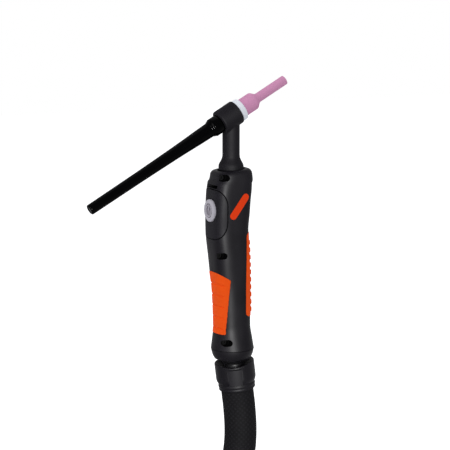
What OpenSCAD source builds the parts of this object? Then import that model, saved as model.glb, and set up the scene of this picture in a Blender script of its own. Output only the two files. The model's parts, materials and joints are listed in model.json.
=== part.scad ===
// Hand-held torch for gas-shielded tungsten arc welding, with a long back cap, an ergonomic grip,
// a push button and a sheathed cable that leaves through a ball joint and ends in a central plug.
// Millimetres. Origin on the handle's axis at the middle of the grip, +Z up to the head,
// +X to the nozzle's side, -X to the button's side, and the halves part on the plane y = 0.

/* [Head] */
// Angle between the handle and the axis of the nozzle and back cap
head_angle = 61; // [55:1:70]
// Height of the head's axis above the middle of the grip
head_z = 129.4; // [124:0.2:140]
// Diameter of the moulded barrel round the head
barrel_d = 20.6; // [19.4:0.2:22]
// Length of the barrel in front of the neck's axis
barrel_front = 7; // [6.5:0.5:9]
// Length of the barrel behind the neck's axis
barrel_back = 11.8; // [10.6:0.1:13]
// Diameter of the covered neck
neck_d = 14.5; // [13.5:0.5:16]
// Diameter of the bell at the foot of the neck
flare_d = 21; // [20:0.5:22]
// Diameter of the brass core in the head
core_d = 12.6; // [12:0.2:13]
// Diameter of the copper tube in the neck
neck_tube_d = 8; // [7:0.5:8.5]

/* [Nozzle and electrode] */
// Length of the ceramic nozzle
nozzle_len = 46; // [40:1:60]
// Diameter of the nozzle's wide base
nozzle_base_d = 15.2; // [13.6:0.2:16]
// Diameter of the nozzle's stem
nozzle_stem_d = 8; // [6.4:0.2:9]
// Bore of the nozzle's stem
nozzle_bore = 4.8; // [4:0.2:5]
// Thickness of the white insulating ring behind the nozzle
ring_t = 4.2; // [3:0.2:6]
// Diameter of the tungsten electrode
electrode_d = 2.4; // [1.6:0.1:2.4]
// Length of the electrode
electrode_len = 175; // [150:5:180]
// How far the electrode can be drawn forward
electrode_travel = 10; // [5:1:15]

/* [Back cap] */
// Length of the back cap behind the barrel
cap_len = 134.2; // [130:0.1:150]
// Diameter of the cap's collar
cap_collar_d = 15.8; // [14:0.2:16]
// Diameter of the cap's body next to the collar
cap_root_d = 12.6; // [10.6:0.2:13]
// Diameter of the cap's far end
cap_tip_d = 9; // [8:0.1:10]

/* [Handle] */
// Length of the handle from its shoulder to its lower lip
handle_len = 151.5; // [150:0.5:156]
// Height of the handle's shoulder above the middle of the grip
handle_top = 85; // [84:0.5:88]
// Depth of the handle at the switch, front to back
belly_depth = 32; // [31:0.5:34]
// Width of the handle at the switch
belly_width = 33; // [32:0.5:35]
// Depth of the grip, front to back
grip_depth = 30; // [29:0.5:32]
// Width of the grip
grip_width = 29.8; // [29:0.2:32]
// Thickness of the handle's shells
wall = 3.6; // [3.4:0.1:4]
// Thickness of the soft grips and the switch panel let into the shells
inlay = 2.1; // [1.8:0.1:2.3]
// Number of ribs on the rear grip
rib_count = 10; // [6:1:12]

/* [Switch] */
// Diameter of the push button
button_d = 18.8; // [17:0.2:20]
// Height of the button above the middle of the grip
button_z = 51.3; // [49:0.5:53]
// How far the button stands out of its panel
button_proud = 2; // [1.6:0.1:2.6]
// Travel of the button
button_travel = 1.5; // [1:0.1:1.5]

/* [Ball joint and cuff] */
// Diameter of the hollow ball in the handle's foot
ball_d = 24.8; // [24:0.2:25.4]
// Height of the ball's middle below the middle of the grip
ball_depth = 70; // [69:0.5:71]
// Outer diameter of the socket's dome
dome_d = 36; // [35.4:0.2:37]
// Diameter of the cable cuff
cuff_d = 33.6; // [33:0.2:34.4]

/* [Cable] */
// Diameter of the sheathed cable
cable_d = 27.4; // [27:0.1:27.6]
// Pitch between the coil's turns and between its two layers
turn_pitch = 28.2; // [28.2:0.1:30]
// Radius of the coil's innermost turn
coil_inner_r = 117; // [110:1:125]
// Number of turns in each of the coil's two layers
layer_turns = 2; // [1:1:3]
// Thickness of the straps round the coil
strap_t = 1.2; // [1:0.1:1.5]

/* [Plug] */
// Diameter of the plug's coupling nut
nut_d = 38; // [36:1:42]
// Diameter of the plug's housing
plug_d = 34; // [32:1:35]
// Diameter of the plug's brass pin
pin_d = 10; // [8:0.5:11]

/* [Hidden] */

// Clearance between pieces that are pressed or clamped together
fit = 0.05;
// Clearance between a piece and the pocket that it lies in
gap = 0.15;
// More than the whole handle is wide
far = 60;
// Angle at which the cuff hangs, towards the nozzle's side
cuff_tilt = 7.3;

// ---- Handle: sections from the shoulder down to the lip ----
// Each: share of the length, shift to the nozzle's side, depth, width, squareness
belly = [belly_depth, belly_width];
grip = [grip_depth, grip_width];
lip_d = dome_d + 0.4;
foot_shift = 1.3;
ball_shift = 1.9;
handle_sections = [
    [0, 0.1, belly * 0.87, 3],
    [0.017, 0.1, belly * 0.965, 3.2],
    [0.05, 0.1, belly, 3.4],
    [0.085, -1.3, [belly[0] + 0.8, belly[1]], 3.7],
    [0.116, -1.8, [belly[0] + 0.8, belly[1]], 4],
    [0.166, -2.6, [belly[0] + 0.4, belly[1]], 4],
    [0.233, -3.2, belly, 4],
    [0.316, -3.8, belly * 0.985, 3.6],
    [0.383, -3.5, belly * 0.995, 3.3],
    [0.484, -2.2, belly * 0.983, 3],
    [0.561, -1.3, [grip[0] + 1.5, grip[1] + 1.4], 2.8],
    [0.654, -0.1, [grip[0] + 0.5, grip[1] + 0.3], 2.6],
    [0.753, 0.5, grip, 2.5],
    [0.872, 0.8, [grip[0] - 0.3, grip[1]], 2.4],
    [0.938, 1.1, (grip * 0.55 + [lip_d, lip_d] * 0.45), 2.2],
    [0.974, 1.2, (grip * 0.25 + [lip_d, lip_d] * 0.75), 2.1],
    [1, foot_shift, [lip_d, lip_d], 2]
];
section_sides = 36;
foot_z = handle_top - handle_len;

// The shoulder rises towards the nozzle's side, and is level again a little way down
shoulder_slope = 0.08;
shoulder_share = 0.05;

function section_z(s) = handle_top - s[0] * handle_len;
function shoulder_rise(s, x) = shoulder_slope * x * max(0, 1 - s[0] / shoulder_share);
function power(v, e) = sign(v) * pow(abs(v), 2 / e);
function section_ring(s, shrink) = [
    for (i = [0 : section_sides - 1])
        let (a = 360 * i / section_sides, x = s[1] + (s[2][0] / 2 - shrink) * power(cos(a), s[3]))
            [x, (s[2][1] / 2 - shrink) * power(sin(a), s[3]), section_z(s) + shoulder_rise(s, x)]
];
function mix(a, b, t) = a + (b - a) * t;
// Depth, width and shift of the handle at a height, between the two nearest sections
function section_at(z, k = 0) =
    z >= section_z(handle_sections[k + 1]) || k == len(handle_sections) - 2
        ? let (a = handle_sections[k], b = handle_sections[k + 1],
            t = (section_z(a) - z) / (section_z(a) - section_z(b)))
            [for (j = [1 : 3]) mix(a[j], b[j], t)]
        : section_at(z, k + 1);
function front_x(z) = section_at(z)[0] - section_at(z)[1][0] / 2;
function rear_x(z) = section_at(z)[0] + section_at(z)[1][0] / 2;

// ---- Polyhedra from rings of points ----
function ring_sides(count, sides) = [
    for (i = [0 : count - 2], j = [0 : sides - 1])
        let (a = i * sides + j, b = i * sides + (j + 1) % sides)
            each [[a, b, b + sides], [a, b + sides, a + sides]]
];
function ring_ends(count, sides) = [
    for (j = [1 : sides - 2])
        each [[0, j + 1, j], [(count - 1) * sides, (count - 1) * sides + j, (count - 1) * sides + j + 1]]
];
module from_rings(rings) {
    sides = len(rings[0]);
    points = [for (r = rings) each r];
    polyhedron(points, concat(ring_ends(len(rings), sides), ring_sides(len(rings), sides)));
}
function unit(v) = v / norm(v);
function heading(path, i) = unit(path[min(i + 1, len(path) - 1)] - path[max(i - 1, 0)]);
function tube_ring(path, i, r, sides, across) =
    let (t = heading(path, i), n = unit(cross(across, t)), m = cross(t, n))
        [for (j = [0 : sides - 1]) path[i] + r * (cos(360 * j / sides) * n + sin(360 * j / sides) * m)];
// A round tube along a path; "across" is a direction that the path never takes
module tube_along(path, d, sides, across) {
    from_rings([for (i = [len(path) - 1 : -1 : 0]) tube_ring(path, i, d / 2, sides, across)]);
}

// ---- Common shapes ----
module tube(outer, bore, from, to) {
    difference() {
        translate([0, 0, from])
            cylinder(d = outer, h = to - from, $fn = 64);
        translate([0, 0, from - 1])
            cylinder(d = bore, h = to - from + 2, $fn = 64);
    }
}
module ring_seal(middle_d, section_d) {
    rotate_extrude($fn = 64)
        translate([middle_d / 2, 0])
            circle(d = section_d, $fn = 24);
}
// Half of space on one side of the parting plane: side is 1 or -1
module half(side, size = far) {
    translate([-size * 2, side > 0 ? 0 : -size, -size * 3])
        cube([size * 4, size, size * 6]);
}
module at_head() {
    translate([0, 0, head_z])
        rotate([0, head_angle, 0])
            children();
}
module at_cuff() {
    translate([ball_shift, 0, -ball_depth])
        rotate([0, -cuff_tilt, 0])
            children();
}
// A flat outline in x and z, made into a bar along y
module along_y(from, to) {
    translate([0, to, 0])
        rotate([90, 0, 0])
            linear_extrude(to - from)
                children();
}

// ---- Head ----
core_front = barrel_front;
core_back = barrel_back - 2;
thread_d = 8.2;
stub_d = 9.4;
stub_len = 26;
collet_d = 3.9;
stub_top = head_z - stub_len;
neck_foot = 70;
seat_d = 17;
flange_d = 20;
flange_z = [74, 77];
flare_z = [87.5, 90.5, 95];
collar_gap = 0.3;

module torch_core() {
    color("goldenrod")
        difference() {
            union() {
                at_head()
                    tube(core_d, 4.4, -core_back, core_front);
                translate([0, 0, stub_top])
                    cylinder(d = stub_d, h = stub_len - core_d / 4, $fn = 64);
            }
            at_head() {
                translate([0, 0, -1])
                    cylinder(d = thread_d, h = core_front + 2, $fn = 64);
                translate([0, 0, -core_back - 1])
                    cylinder(d = thread_d, h = core_back - 2, $fn = 64);
                translate([0, 0, -core_back - 1])
                    cylinder(d = 4.4, h = core_back + 2, $fn = 64);
            }
            translate([0, 0, stub_top - 1])
                cylinder(d = neck_tube_d - 3, h = stub_len, $fn = 48);
        }
}

module head_cover() {
    edge = 1.2;
    r = barrel_d / 2;
    color([0.15, 0.14, 0.16])
        difference() {
            union() {
                at_head()
                    rotate_extrude($fn = 96)
                        polygon(concat(
                            [[0, -barrel_back]],
                            [for (a = [-90 : 15 : 0]) [r - edge + edge * cos(a), -barrel_back + edge + edge * sin(a)]],
                            [for (a = [0 : 15 : 90]) [r - edge / 2 + edge / 2 * cos(a),
                                barrel_front - edge / 2 + edge / 2 * sin(a)]],
                            [[0, barrel_front]]));
                translate([0, 0, flare_z[2] - 1])
                    cylinder(d = neck_d, h = head_z - flare_z[2] + 1, $fn = 96);
                rotate_extrude($fn = 96)
                    polygon([[0, neck_foot], [seat_d / 2, neck_foot], [seat_d / 2, flange_z[0]],
                        [flange_d / 2, flange_z[0]], [flange_d / 2, flange_z[1]], [seat_d / 2, flange_z[1]],
                        [seat_d / 2, handle_top - 2], [flare_d / 2 - 1, handle_top - 1],
                        [flare_d / 2, handle_top], [flare_d / 2, flare_z[0]],
                        [flare_d / 2 - 0.5, flare_z[0] + 2], [flare_d / 2 - 1.6, flare_z[1] + 0.5],
                        [neck_d / 2 + 0.4, flare_z[2] - 1.5], [neck_d / 2, flare_z[2]], [0, flare_z[2]]]);
            }
            at_head() {
                translate([0, 0, -far])
                    cylinder(d = core_d + 2 * fit, h = 2 * far, $fn = 64);
                // Room for the cap's collar, which bites into the neck
                translate([0, 0, -barrel_back - far])
                    cylinder(d = cap_collar_d + 2 * collar_gap, h = far, $fn = 96);
            }
            translate([0, 0, stub_top])
                cylinder(d = stub_d + 2 * fit, h = stub_len, $fn = 64);
            translate([0, 0, neck_foot - 1])
                cylinder(d = neck_tube_d + 2 * fit, h = stub_top - neck_foot + 2, $fn = 64);
        }
}

coupler_z = [44, 62];
module neck_tube() {
    color("peru")
        tube(neck_tube_d, neck_tube_d - 3, coupler_z[1], stub_top);
}

coupler_d = 14;
module lead_coupler() {
    color("goldenrod")
        difference() {
            union() {
                translate([0, 0, coupler_z[0] + 5])
                    cylinder(d = coupler_d, h = coupler_z[1] - coupler_z[0] - 5, $fn = 6);
                translate([0, 0, coupler_z[0]])
                    cylinder(d = coupler_d - 3, h = 6, $fn = 48);
            }
            translate([0, 0, coupler_z[0] - 1])
                cylinder(d = 5, h = coupler_z[1] - coupler_z[0] + 2, $fn = 48);
        }
}

nozzle_from = barrel_front + ring_t;
nozzle_seat_d = 10;
ring_inset = 0.8;
module insulator_ring() {
    r = barrel_d / 2 - ring_inset;
    color("white")
        at_head()
            rotate_extrude($fn = 96)
                polygon([[nozzle_seat_d / 2 + fit, core_front], [r - 0.6, core_front], [r, core_front + 0.6],
                    [r, nozzle_from - 1], [r - 1, nozzle_from], [nozzle_seat_d / 2 + fit, nozzle_from]]);
}

nozzle_socket = 11;
module collet_body() {
    color("chocolate")
        at_head()
            difference() {
                rotate_extrude($fn = 64)
                    polygon([[0, 0], [thread_d / 2 - fit, 0], [thread_d / 2 - fit, core_front],
                        [nozzle_seat_d / 2, core_front], [nozzle_seat_d / 2, nozzle_from + nozzle_socket - 1],
                        [3.2, nozzle_from + nozzle_socket + 1], [0, nozzle_from + nozzle_socket + 1]]);
                translate([0, 0, -1])
                    cylinder(d = collet_d + 2 * fit, h = nozzle_from + nozzle_socket, $fn = 48);
                translate([0, 0, -1])
                    cylinder(d = electrode_d + 0.2, h = far, $fn = 48);
                for (a = [0 : 90 : 270])
                    rotate([90, 0, a])
                        translate([0, nozzle_from + nozzle_socket - 3, 0])
                            cylinder(d = 1.4, h = 8, $fn = 24);
            }
}

module collet() {
    from = shank_len - core_back + 0.5;
    to = nozzle_from + nozzle_socket - 1.1;
    color("sandybrown")
        at_head()
            difference() {
                tube(collet_d, electrode_d + 0.1, from, to);
                translate([-0.15, -3, to - 14])
                    cube([0.3, 6, 20]);
            }
}

electrode_tip = nozzle_from + nozzle_len - 1;
module electrode() {
    point = 5;
    color("silver")
        at_head()
            rotate_extrude($fn = 48)
                polygon([[0, electrode_tip - electrode_len],
                    [electrode_d / 2 - 0.2, electrode_tip - electrode_len],
                    [electrode_d / 2, electrode_tip - electrode_len + 0.2],
                    [electrode_d / 2, electrode_tip - point], [0.15, electrode_tip], [0, electrode_tip]]);
}

module nozzle() {
    base_to = nozzle_from + 12.1;
    neck_to = base_to + 5.2;
    tip = nozzle_from + nozzle_len;
    base_r = nozzle_base_d / 2;
    stem_r = nozzle_stem_d / 2;
    bore_r = nozzle_bore / 2;
    color([0.8, 0.52, 0.68])
        at_head()
            rotate_extrude($fn = 96)
                polygon(concat(
                    [[nozzle_seat_d / 2 + fit, nozzle_from], [base_r - 0.5, nozzle_from],
                        [base_r, nozzle_from + 0.5], [base_r, base_to - 1]],
                    [for (t = [0 : 0.125 : 1])
                        [mix(base_r, stem_r, (1 - cos(180 * t)) / 2), mix(base_to - 0.6, neck_to, t)]],
                    [[stem_r, tip - 0.4], [stem_r - 0.4, tip], [bore_r + 0.3, tip], [bore_r, tip - 0.3],
                        [bore_r, nozzle_from + nozzle_socket + 4],
                        [nozzle_seat_d / 2 + fit, nozzle_from + nozzle_socket + 1.2]]));
}

cap_from = barrel_back;
cap_collar_len = 10;
shank_len = 4.5;
// The cap narrows fast at first: share of the length, share of the narrowing
cap_taper = [[0.1, 0.17], [0.3, 0.6], [0.6, 0.88]];
seal_section = 1.7;
seal_seat_d = 8.8;
module back_cap() {
    tip = cap_from + cap_len;
    collar_r = cap_collar_d / 2;
    root_r = cap_root_d / 2;
    tip_r = cap_tip_d / 2;
    shank_r = thread_d / 2 - fit;
    deep = electrode_len - electrode_tip + 6;
    color([0.02, 0.02, 0.02])
        at_head()
            rotate([180, 0, 0])
                difference() {
                    rotate_extrude($fn = 96)
                        polygon(concat(
                            [[0, core_back - shank_len], [shank_r, core_back - shank_len],
                                [shank_r, core_back], [seal_seat_d / 2, core_back], [seal_seat_d / 2, cap_from],
                                [collar_r - 0.8, cap_from], [collar_r, cap_from + 0.8],
                                [collar_r, cap_from + cap_collar_len - 2.2],
                                [collar_r - 0.7, cap_from + cap_collar_len - 1.4],
                                [collar_r - 0.9, cap_from + cap_collar_len],
                                [root_r, cap_from + cap_collar_len + 0.8]],
                            [for (k = cap_taper) [mix(root_r, tip_r, k[1]),
                                mix(cap_from + cap_collar_len + 0.8, tip, k[0])]],
                            [for (a = [0 : 15 : 75]) [tip_r - 1.2 + 1.2 * cos(a), tip - 1.2 + 1.2 * sin(a)]],
                            [[tip_r - 1.5, tip], [tip_r - 1.8, tip - 0.5], [0, tip - 0.5]]));
                    cylinder(d = electrode_d + 1, h = deep, $fn = 48);
                }
}

module cap_seal() {
    color([0.1, 0.1, 0.1])
        at_head()
            translate([0, 0, -(core_back + cap_from) / 2])
                ring_seal(seal_seat_d + seal_section + 2 * fit, seal_section);
}

// ---- Handle ----
cavity_z = [-52, 68];
joint_top = -58;
screw_d = 2.8;
boss_d = 7;
counterbore_d = 5.2;
screw_places = [[-12.6, 79.4], [-14.8, 14.4], [-10, -59.5]];
screw_seat = -4.5;
screw_reach = 8.5;
head_h = 2.2;

module skin(shrink = 0) {
    from_rings([for (s = handle_sections) section_ring(s, shrink)]);
}
module dome() {
    intersection() {
        translate([foot_shift, 0, foot_z + 1.5])
            sphere(d = dome_d, $fn = 96);
        translate([foot_shift - far / 2, -far / 2, dome_foot])
            cube([far, far, foot_z - dome_foot]);
    }
}
dome_foot = -ball_depth - 5;

// Side view of the switch panel, and of the two soft grips
panel_z = [25.5, 72];
panel_x = -10.9;
panel_corner = 9;
finger_slot = [17, 2.2];
module panel_outline(grow = 0) {
    r = panel_corner + grow;
    translate([-far, panel_z[0] - grow])
        square([far + panel_x - panel_corner, panel_z[1] - panel_z[0] + 2 * grow]);
    translate([-far, panel_z[0] + panel_corner])
        square([far + panel_x + grow, panel_z[1] - panel_z[0] - 2 * panel_corner]);
    for (z = [panel_z[0] + panel_corner, panel_z[1] - panel_corner])
        translate([panel_x - panel_corner, z])
            circle(r = r, $fn = 64);
}
// Corners of the front grip: its upper edge slopes down and back, its rear edge leans forward
front_top = [[-24, 4.1], [-7.5, -6.3]];
front_foot = [-10.6, -52.6];
module front_grip_outline(grow = 0) {
    polygon([[-far, front_top[0][1] + grow], [front_top[0][0], front_top[0][1] + grow],
        [front_top[1][0] + grow, front_top[1][1] + grow / 2], [front_foot[0] + grow, front_foot[1] - grow],
        [-far, front_foot[1] - grow]]);
}
rear_grip_z = [-38.4, 33];
rear_grip_x = 7.1;
module rear_grip_outline(grow = 0) {
    r = 4 + grow;
    translate([rear_grip_x + 4, rear_grip_z[0] - grow])
        square([far, rear_grip_z[1] - rear_grip_z[0] + 2 * grow]);
    translate([rear_grip_x - grow, rear_grip_z[0] + 4])
        square([far, rear_grip_z[1] - rear_grip_z[0] - 8]);
    for (z = [rear_grip_z[0] + 4, rear_grip_z[1] - 4])
        translate([rear_grip_x + 4, z])
            circle(r = r, $fn = 48);
}
label_ends = [[-5.9, 48], [5.4, 62.9]];
label_w = 6.2;
label_depth = 0.7;
module label_outline(grow = 0) {
    along = label_ends[1] - label_ends[0];
    w = label_w + 2 * grow;
    for (p = label_ends)
        translate(p)
            circle(d = w, $fn = 48);
    translate(label_ends[0])
        rotate(atan2(along[1], along[0]))
            translate([0, -w / 2])
                square([norm(along), w]);
}
module pocket(depth) {
    difference() {
        along_y(-far, far)
            children();
        skin(depth);
    }
}

flange_gap = 0.3;
button_hole_d = button_d + 2 * flange_gap;
button_flange_d = button_d + 2;
panel_face = front_x(button_z);
button_back = panel_face + inlay + 2.3;
switch_face = button_back + button_travel + 0.3;
switch_size = [5.8, 6.2, 12.8];
lower_lip = 3;

module cavity() {
    difference() {
        intersection() {
            skin(wall);
            translate([-far, -far, cavity_z[0]])
                cube([2 * far, 2 * far, cavity_z[1] - cavity_z[0]]);
        }
        for (p = screw_places)
            translate([p[0], far, p[1]])
                rotate([90, 0, 0])
                    cylinder(d = boss_d, h = 2 * far, $fn = 48);
        // Shelves that hold the microswitch from both sides
        for (s = [-1, 1])
            translate([switch_face, s > 0 ? switch_size[1] / 2 + fit : -far, button_z - 3])
                cube([switch_size[0] - 1, far - switch_size[1] / 2 - fit, 6]);
    }
}

module shell(side) {
    difference() {
        intersection() {
            union() {
                skin();
                dome();
            }
            half(side);
        }
        cavity();
        // Way of the neck, with a groove for its flange and a gap round the bell
        translate([0, 0, cavity_z[1] - 1])
            cylinder(d = seat_d + 2 * fit, h = 30, $fn = 96);
        translate([0, 0, flange_z[0] - fit])
            cylinder(d = flange_d + 2 * fit, h = flange_z[1] - flange_z[0] + 2 * fit, $fn = 96);
        translate([0, 0, handle_top - 3.5])
            cylinder(d = flare_d + 2.4, h = 30, $fn = 96);
        // Ball socket, and the way through it
        translate([ball_shift, 0, -ball_depth])
            sphere(d = ball_d + 0.1, $fn = 96);
        translate([ball_shift, 0, joint_top - 4])
            cylinder(d = ball_d - 6, h = 12, $fn = 96);
        // Pockets of the panel, the grips and the label
        pocket(inlay + gap) {
            panel_outline(gap);
            front_grip_outline(gap);
            rear_grip_outline(gap);
        }
        if (side < 0)
            intersection() {
                pocket(label_depth)
                    label_outline(gap / 2);
                half(-1);
            }
        // Opening behind the button
        translate([-far, 0, button_z])
            rotate([0, 90, 0])
                cylinder(d = button_flange_d + 1, h = far + switch_face, $fn = 96);
        // Screw holes: a deep seat on the left, a pilot on the right
        for (p = screw_places)
            translate([p[0], 0, p[1]])
                rotate([90, 0, 0]) {
                    translate([0, 0, -screw_reach - 0.5])
                        cylinder(d = side < 0 ? screw_d + 0.6 : screw_d + 2 * fit, h = far, $fn = 32);
                    translate([0, 0, -screw_seat])
                        cylinder(d = counterbore_d, h = far, $fn = 48);
                }
        // Notch under the rear grip
        translate([rear_x(-51) - 1.4, -4.5, -55])
            cube([5, 9, 8]);
    }
}
module shell_left() {
    color([0.14, 0.13, 0.15])
        shell(-1);
}
module shell_right() {
    color([0.16, 0.15, 0.17])
        shell(1);
}

groove_count = 5;
groove_pitch = 9.2;
groove_top = -9.5;
groove_size = [16, 1.2];
groove_slope = 14;
module front_grip() {
    color([0.98, 0.33, 0.08])
        difference() {
            intersection() {
                along_y(-far, far)
                    front_grip_outline();
                skin(-0.35);
            }
            skin(inlay);
            difference() {
                for (i = [0 : groove_count - 1])
                    translate([front_x(0) - 2.5, 0, groove_top - groove_pitch * i])
                        rotate([0, groove_slope, 0])
                            cube([groove_size[0], far, groove_size[1]], center = true);
                skin(0.35);
            }
        }
}

rib_pitch = 6.32;
rib_top = 24;
rib_h = 3.4;
rib_w = 22;
rib_proud = 1;
module rear_grip() {
    color([0.98, 0.33, 0.08])
        difference() {
            intersection() {
                along_y(-far, far)
                    rear_grip_outline();
                union() {
                    skin(-0.3);
                    intersection() {
                        skin(-rib_proud);
                        for (i = [0 : rib_count - 1])
                            translate([0, -rib_w / 2, rib_top - rib_pitch * i - rib_h / 2])
                                cube([far, rib_w, rib_h]);
                    }
                }
            }
            skin(inlay);
        }
}

module label_plate() {
    color([0.96, 0.28, 0.08])
        difference() {
            intersection() {
                along_y(-far, -2)
                    label_outline();
                skin(-0.2);
            }
            skin(label_depth - fit);
        }
}

module switch_panel() {
    color([0.12, 0.12, 0.14])
        difference() {
            intersection() {
                along_y(-far, far)
                    panel_outline();
                skin(-0.15);
            }
            skin(inlay);
            translate([-far, 0, button_z])
                rotate([0, 90, 0])
                    cylinder(d = button_hole_d, h = 2 * far, $fn = 96);
            // Finger slot at the top edge
            translate([-far, -finger_slot[0] / 2, panel_z[1] - finger_slot[1]])
                cube([far, finger_slot[0], 5]);
        }
}

module button() {
    r = button_d / 2;
    top = panel_face - button_proud;
    color([0.68, 0.66, 0.71])
        translate([0, 0, button_z])
            rotate([0, 90, 0])
                difference() {
                    rotate_extrude($fn = 96)
                        polygon([[0, top + 0.1], [r - 1.6, top], [r - 0.5, top + 0.4], [r, top + 1.1],
                            [r, button_back - 1], [button_flange_d / 2, button_back - 1],
                            [button_flange_d / 2, button_back], [0, button_back]]);
                    // Ring and bar symbol
                    translate([0, 0, top - 1])
                        difference() {
                            cylinder(d = 9.4, h = 1.35, $fn = 64);
                            translate([0, 0, -1])
                                cylinder(d = 7.4, h = 4, $fn = 64);
                            translate([-far - 1.5, -1.5, -1])
                                cube([far, 3, 4]);
                        }
                    translate([-6.6, -0.5, top - 1])
                        cube([5, 1, 1.35]);
                }
}

plunger_d = 2;
module switch_plunger() {
    color("white")
        translate([button_back + fit, 0, button_z])
            rotate([0, 90, 0])
                cylinder(d = plunger_d, h = switch_face - button_back + 1, $fn = 32);
}

module microswitch() {
    color([0.2, 0.2, 0.22])
        difference() {
            translate([switch_face, -switch_size[1] / 2, button_z - switch_size[2] / 2])
                cube(switch_size);
            translate([switch_face - 1, 0, button_z])
                rotate([0, 90, 0])
                    cylinder(d = plunger_d + 0.2, h = 4.4, $fn = 32);
        }
}

// ---- Leads inside the handle ----
power_d = 8.6;
lead_d = 3.2;
ball_at = [ball_shift, 0, -ball_depth];
function on_cuff_axis(d, side = 0) = ball_at + d * [sin(cuff_tilt), 0, -cos(cuff_tilt)] + [0, side, 0];
lead_end = 20.5;
power_route = [[0, 0, coupler_z[0]], [0, 0, 34], [0.2, 0.6, 10], [0.6, 1.8, -20], on_cuff_axis(-14, 2.2),
    on_cuff_axis(4, 2.2), on_cuff_axis(lead_end, 2.2)];
switch_foot = button_z - switch_size[2] / 2;
lead_route = [[switch_face + 3, 0, switch_foot], [switch_face + 3, 0, switch_foot - 6],
    [-8, -1.5, 20], [-6.4, -2, -10], [-4.5, -3, -35], on_cuff_axis(-14, -4.2), on_cuff_axis(4, -4.2),
    on_cuff_axis(lead_end, -4.2)];
module power_cable() {
    color([0.1, 0.1, 0.1])
        tube_along(power_route, power_d, 12, [0, 1, 0]);
}
module control_lead() {
    color([0.25, 0.25, 0.28])
        tube_along(lead_route, lead_d, 8, [0, 1, 0]);
}

module shell_screws() {
    color("dimgray")
        for (p = screw_places)
            translate([p[0], 0, p[1]])
                rotate([90, 0, 0]) {
                    translate([0, 0, -screw_reach])
                        cylinder(d = screw_d, h = screw_reach - screw_seat, $fn = 32);
                    difference() {
                        translate([0, 0, -screw_seat])
                            cylinder(d = counterbore_d - 0.6, h = head_h, $fn = 48);
                        translate([0, 0, -screw_seat + head_h - 1.2])
                            cylinder(d = 2.4, h = 4, $fn = 6);
                    }
                }
}

// ---- Ball joint and cuff: depths along the cuff's axis below the ball's middle ----
cuff_from = 7.4;
cuff_to = 31.5;
hollow_r = 17.2;
// The rim dips in an arch where the halves meet
rim_arch_r = 40.2;
rim_dip = 10.3;
ball_bore = 14.8;
ball_neck = 18;
ball_flat = 9;
flange_from = 17.2;
flange_to = 19.6;
knuckle_flange_d = 24.6;
cuff_roll = -27;

module knuckle_ball() {
    color([0.1, 0.1, 0.11])
        at_cuff()
            difference() {
                union() {
                    intersection() {
                        sphere(d = ball_d, $fn = 96);
                        translate([-far / 2, -far / 2, -far / 2])
                            cube([far, far, far / 2 + ball_flat]);
                    }
                    translate([0, 0, -flange_to])
                        cylinder(d = ball_neck, h = flange_to - 7, $fn = 64);
                    translate([0, 0, -flange_to])
                        cylinder(d = knuckle_flange_d, h = flange_to - flange_from, $fn = 64);
                }
                translate([0, 0, -far])
                    cylinder(d = ball_bore, h = 2 * far, $fn = 64);
            }
}

module cuff_profile() {
    r = cuff_d / 2;
    end_r = cable_d / 2 + 1.4;
    polygon(concat(
        [for (a = [0 : 15 : 90]) [r - 1.3 + 1.3 * sin(a), -cuff_from - 1.3 + 1.3 * cos(a)]],
        [[r, -cuff_to + 9.5], [r - 0.7, -cuff_to + 6.5], [end_r + 0.4, -cuff_to + 3], [end_r + 0.4, -cuff_to + 1.8],
            [end_r, -cuff_to + 1.4], [end_r, -cuff_to], [0, -cuff_to], [0, -cuff_from]]));
}
clip_size = [13, 13.5];
clip_depth = 19;
module clip_block(grow, reach) {
    translate([-clip_size[0] / 2 - grow, -cuff_d / 2 - 1, -clip_depth - clip_size[1] / 2 - grow])
        cube([clip_size[0] + 2 * grow, reach, clip_size[1] + 2 * grow]);
}
module cuff_half(side) {
    at_cuff()
        difference() {
            intersection() {
                rotate_extrude($fn = 96)
                    cuff_profile();
                rotate([0, 0, cuff_roll])
                    translate([side > 0 ? 0 : -far, -far / 2, -far])
                        cube([far, far, far * 2]);
            }
            // Hollow top, swept by the dome
            sphere(r = hollow_r, $fn = 96);
            rotate([0, 0, cuff_roll])
                translate([0, far, rim_arch_r - rim_dip])
                    rotate([90, 0, 0])
                        cylinder(r = rim_arch_r, h = 2 * far, $fn = 192);
            translate([0, 0, -far])
                cylinder(d = ball_neck + 2 * fit, h = 2 * far, $fn = 64);
            translate([0, 0, -flange_to - fit])
                cylinder(d = knuckle_flange_d + 2 * fit, h = flange_to - flange_from + 2 * fit, $fn = 64);
            // Seat of the cable's sheath
            translate([0, 0, -far])
                cylinder(d = cable_d + 0.4, h = far - flange_to - 1, $fn = 96);
            // Seat of the clip, half in each side
            rotate([0, 0, cuff_roll])
                clip_block(fit, 1 + clip_t);
        }
}
clip_t = 1.2;
module cuff_left() {
    color([0.13, 0.13, 0.15])
        cuff_half(-1);
}
module cuff_right() {
    color([0.15, 0.15, 0.17])
        cuff_half(1);
}
module cuff_clip() {
    color([0.2, 0.2, 0.22])
        at_cuff()
            rotate([0, 0, cuff_roll])
                intersection() {
                    clip_block(-fit, 1 + clip_t - fit);
                    translate([0, 0, -far])
                        cylinder(d = cuff_d + 1.2, h = 2 * far, $fn = 96);
                }
}

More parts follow.
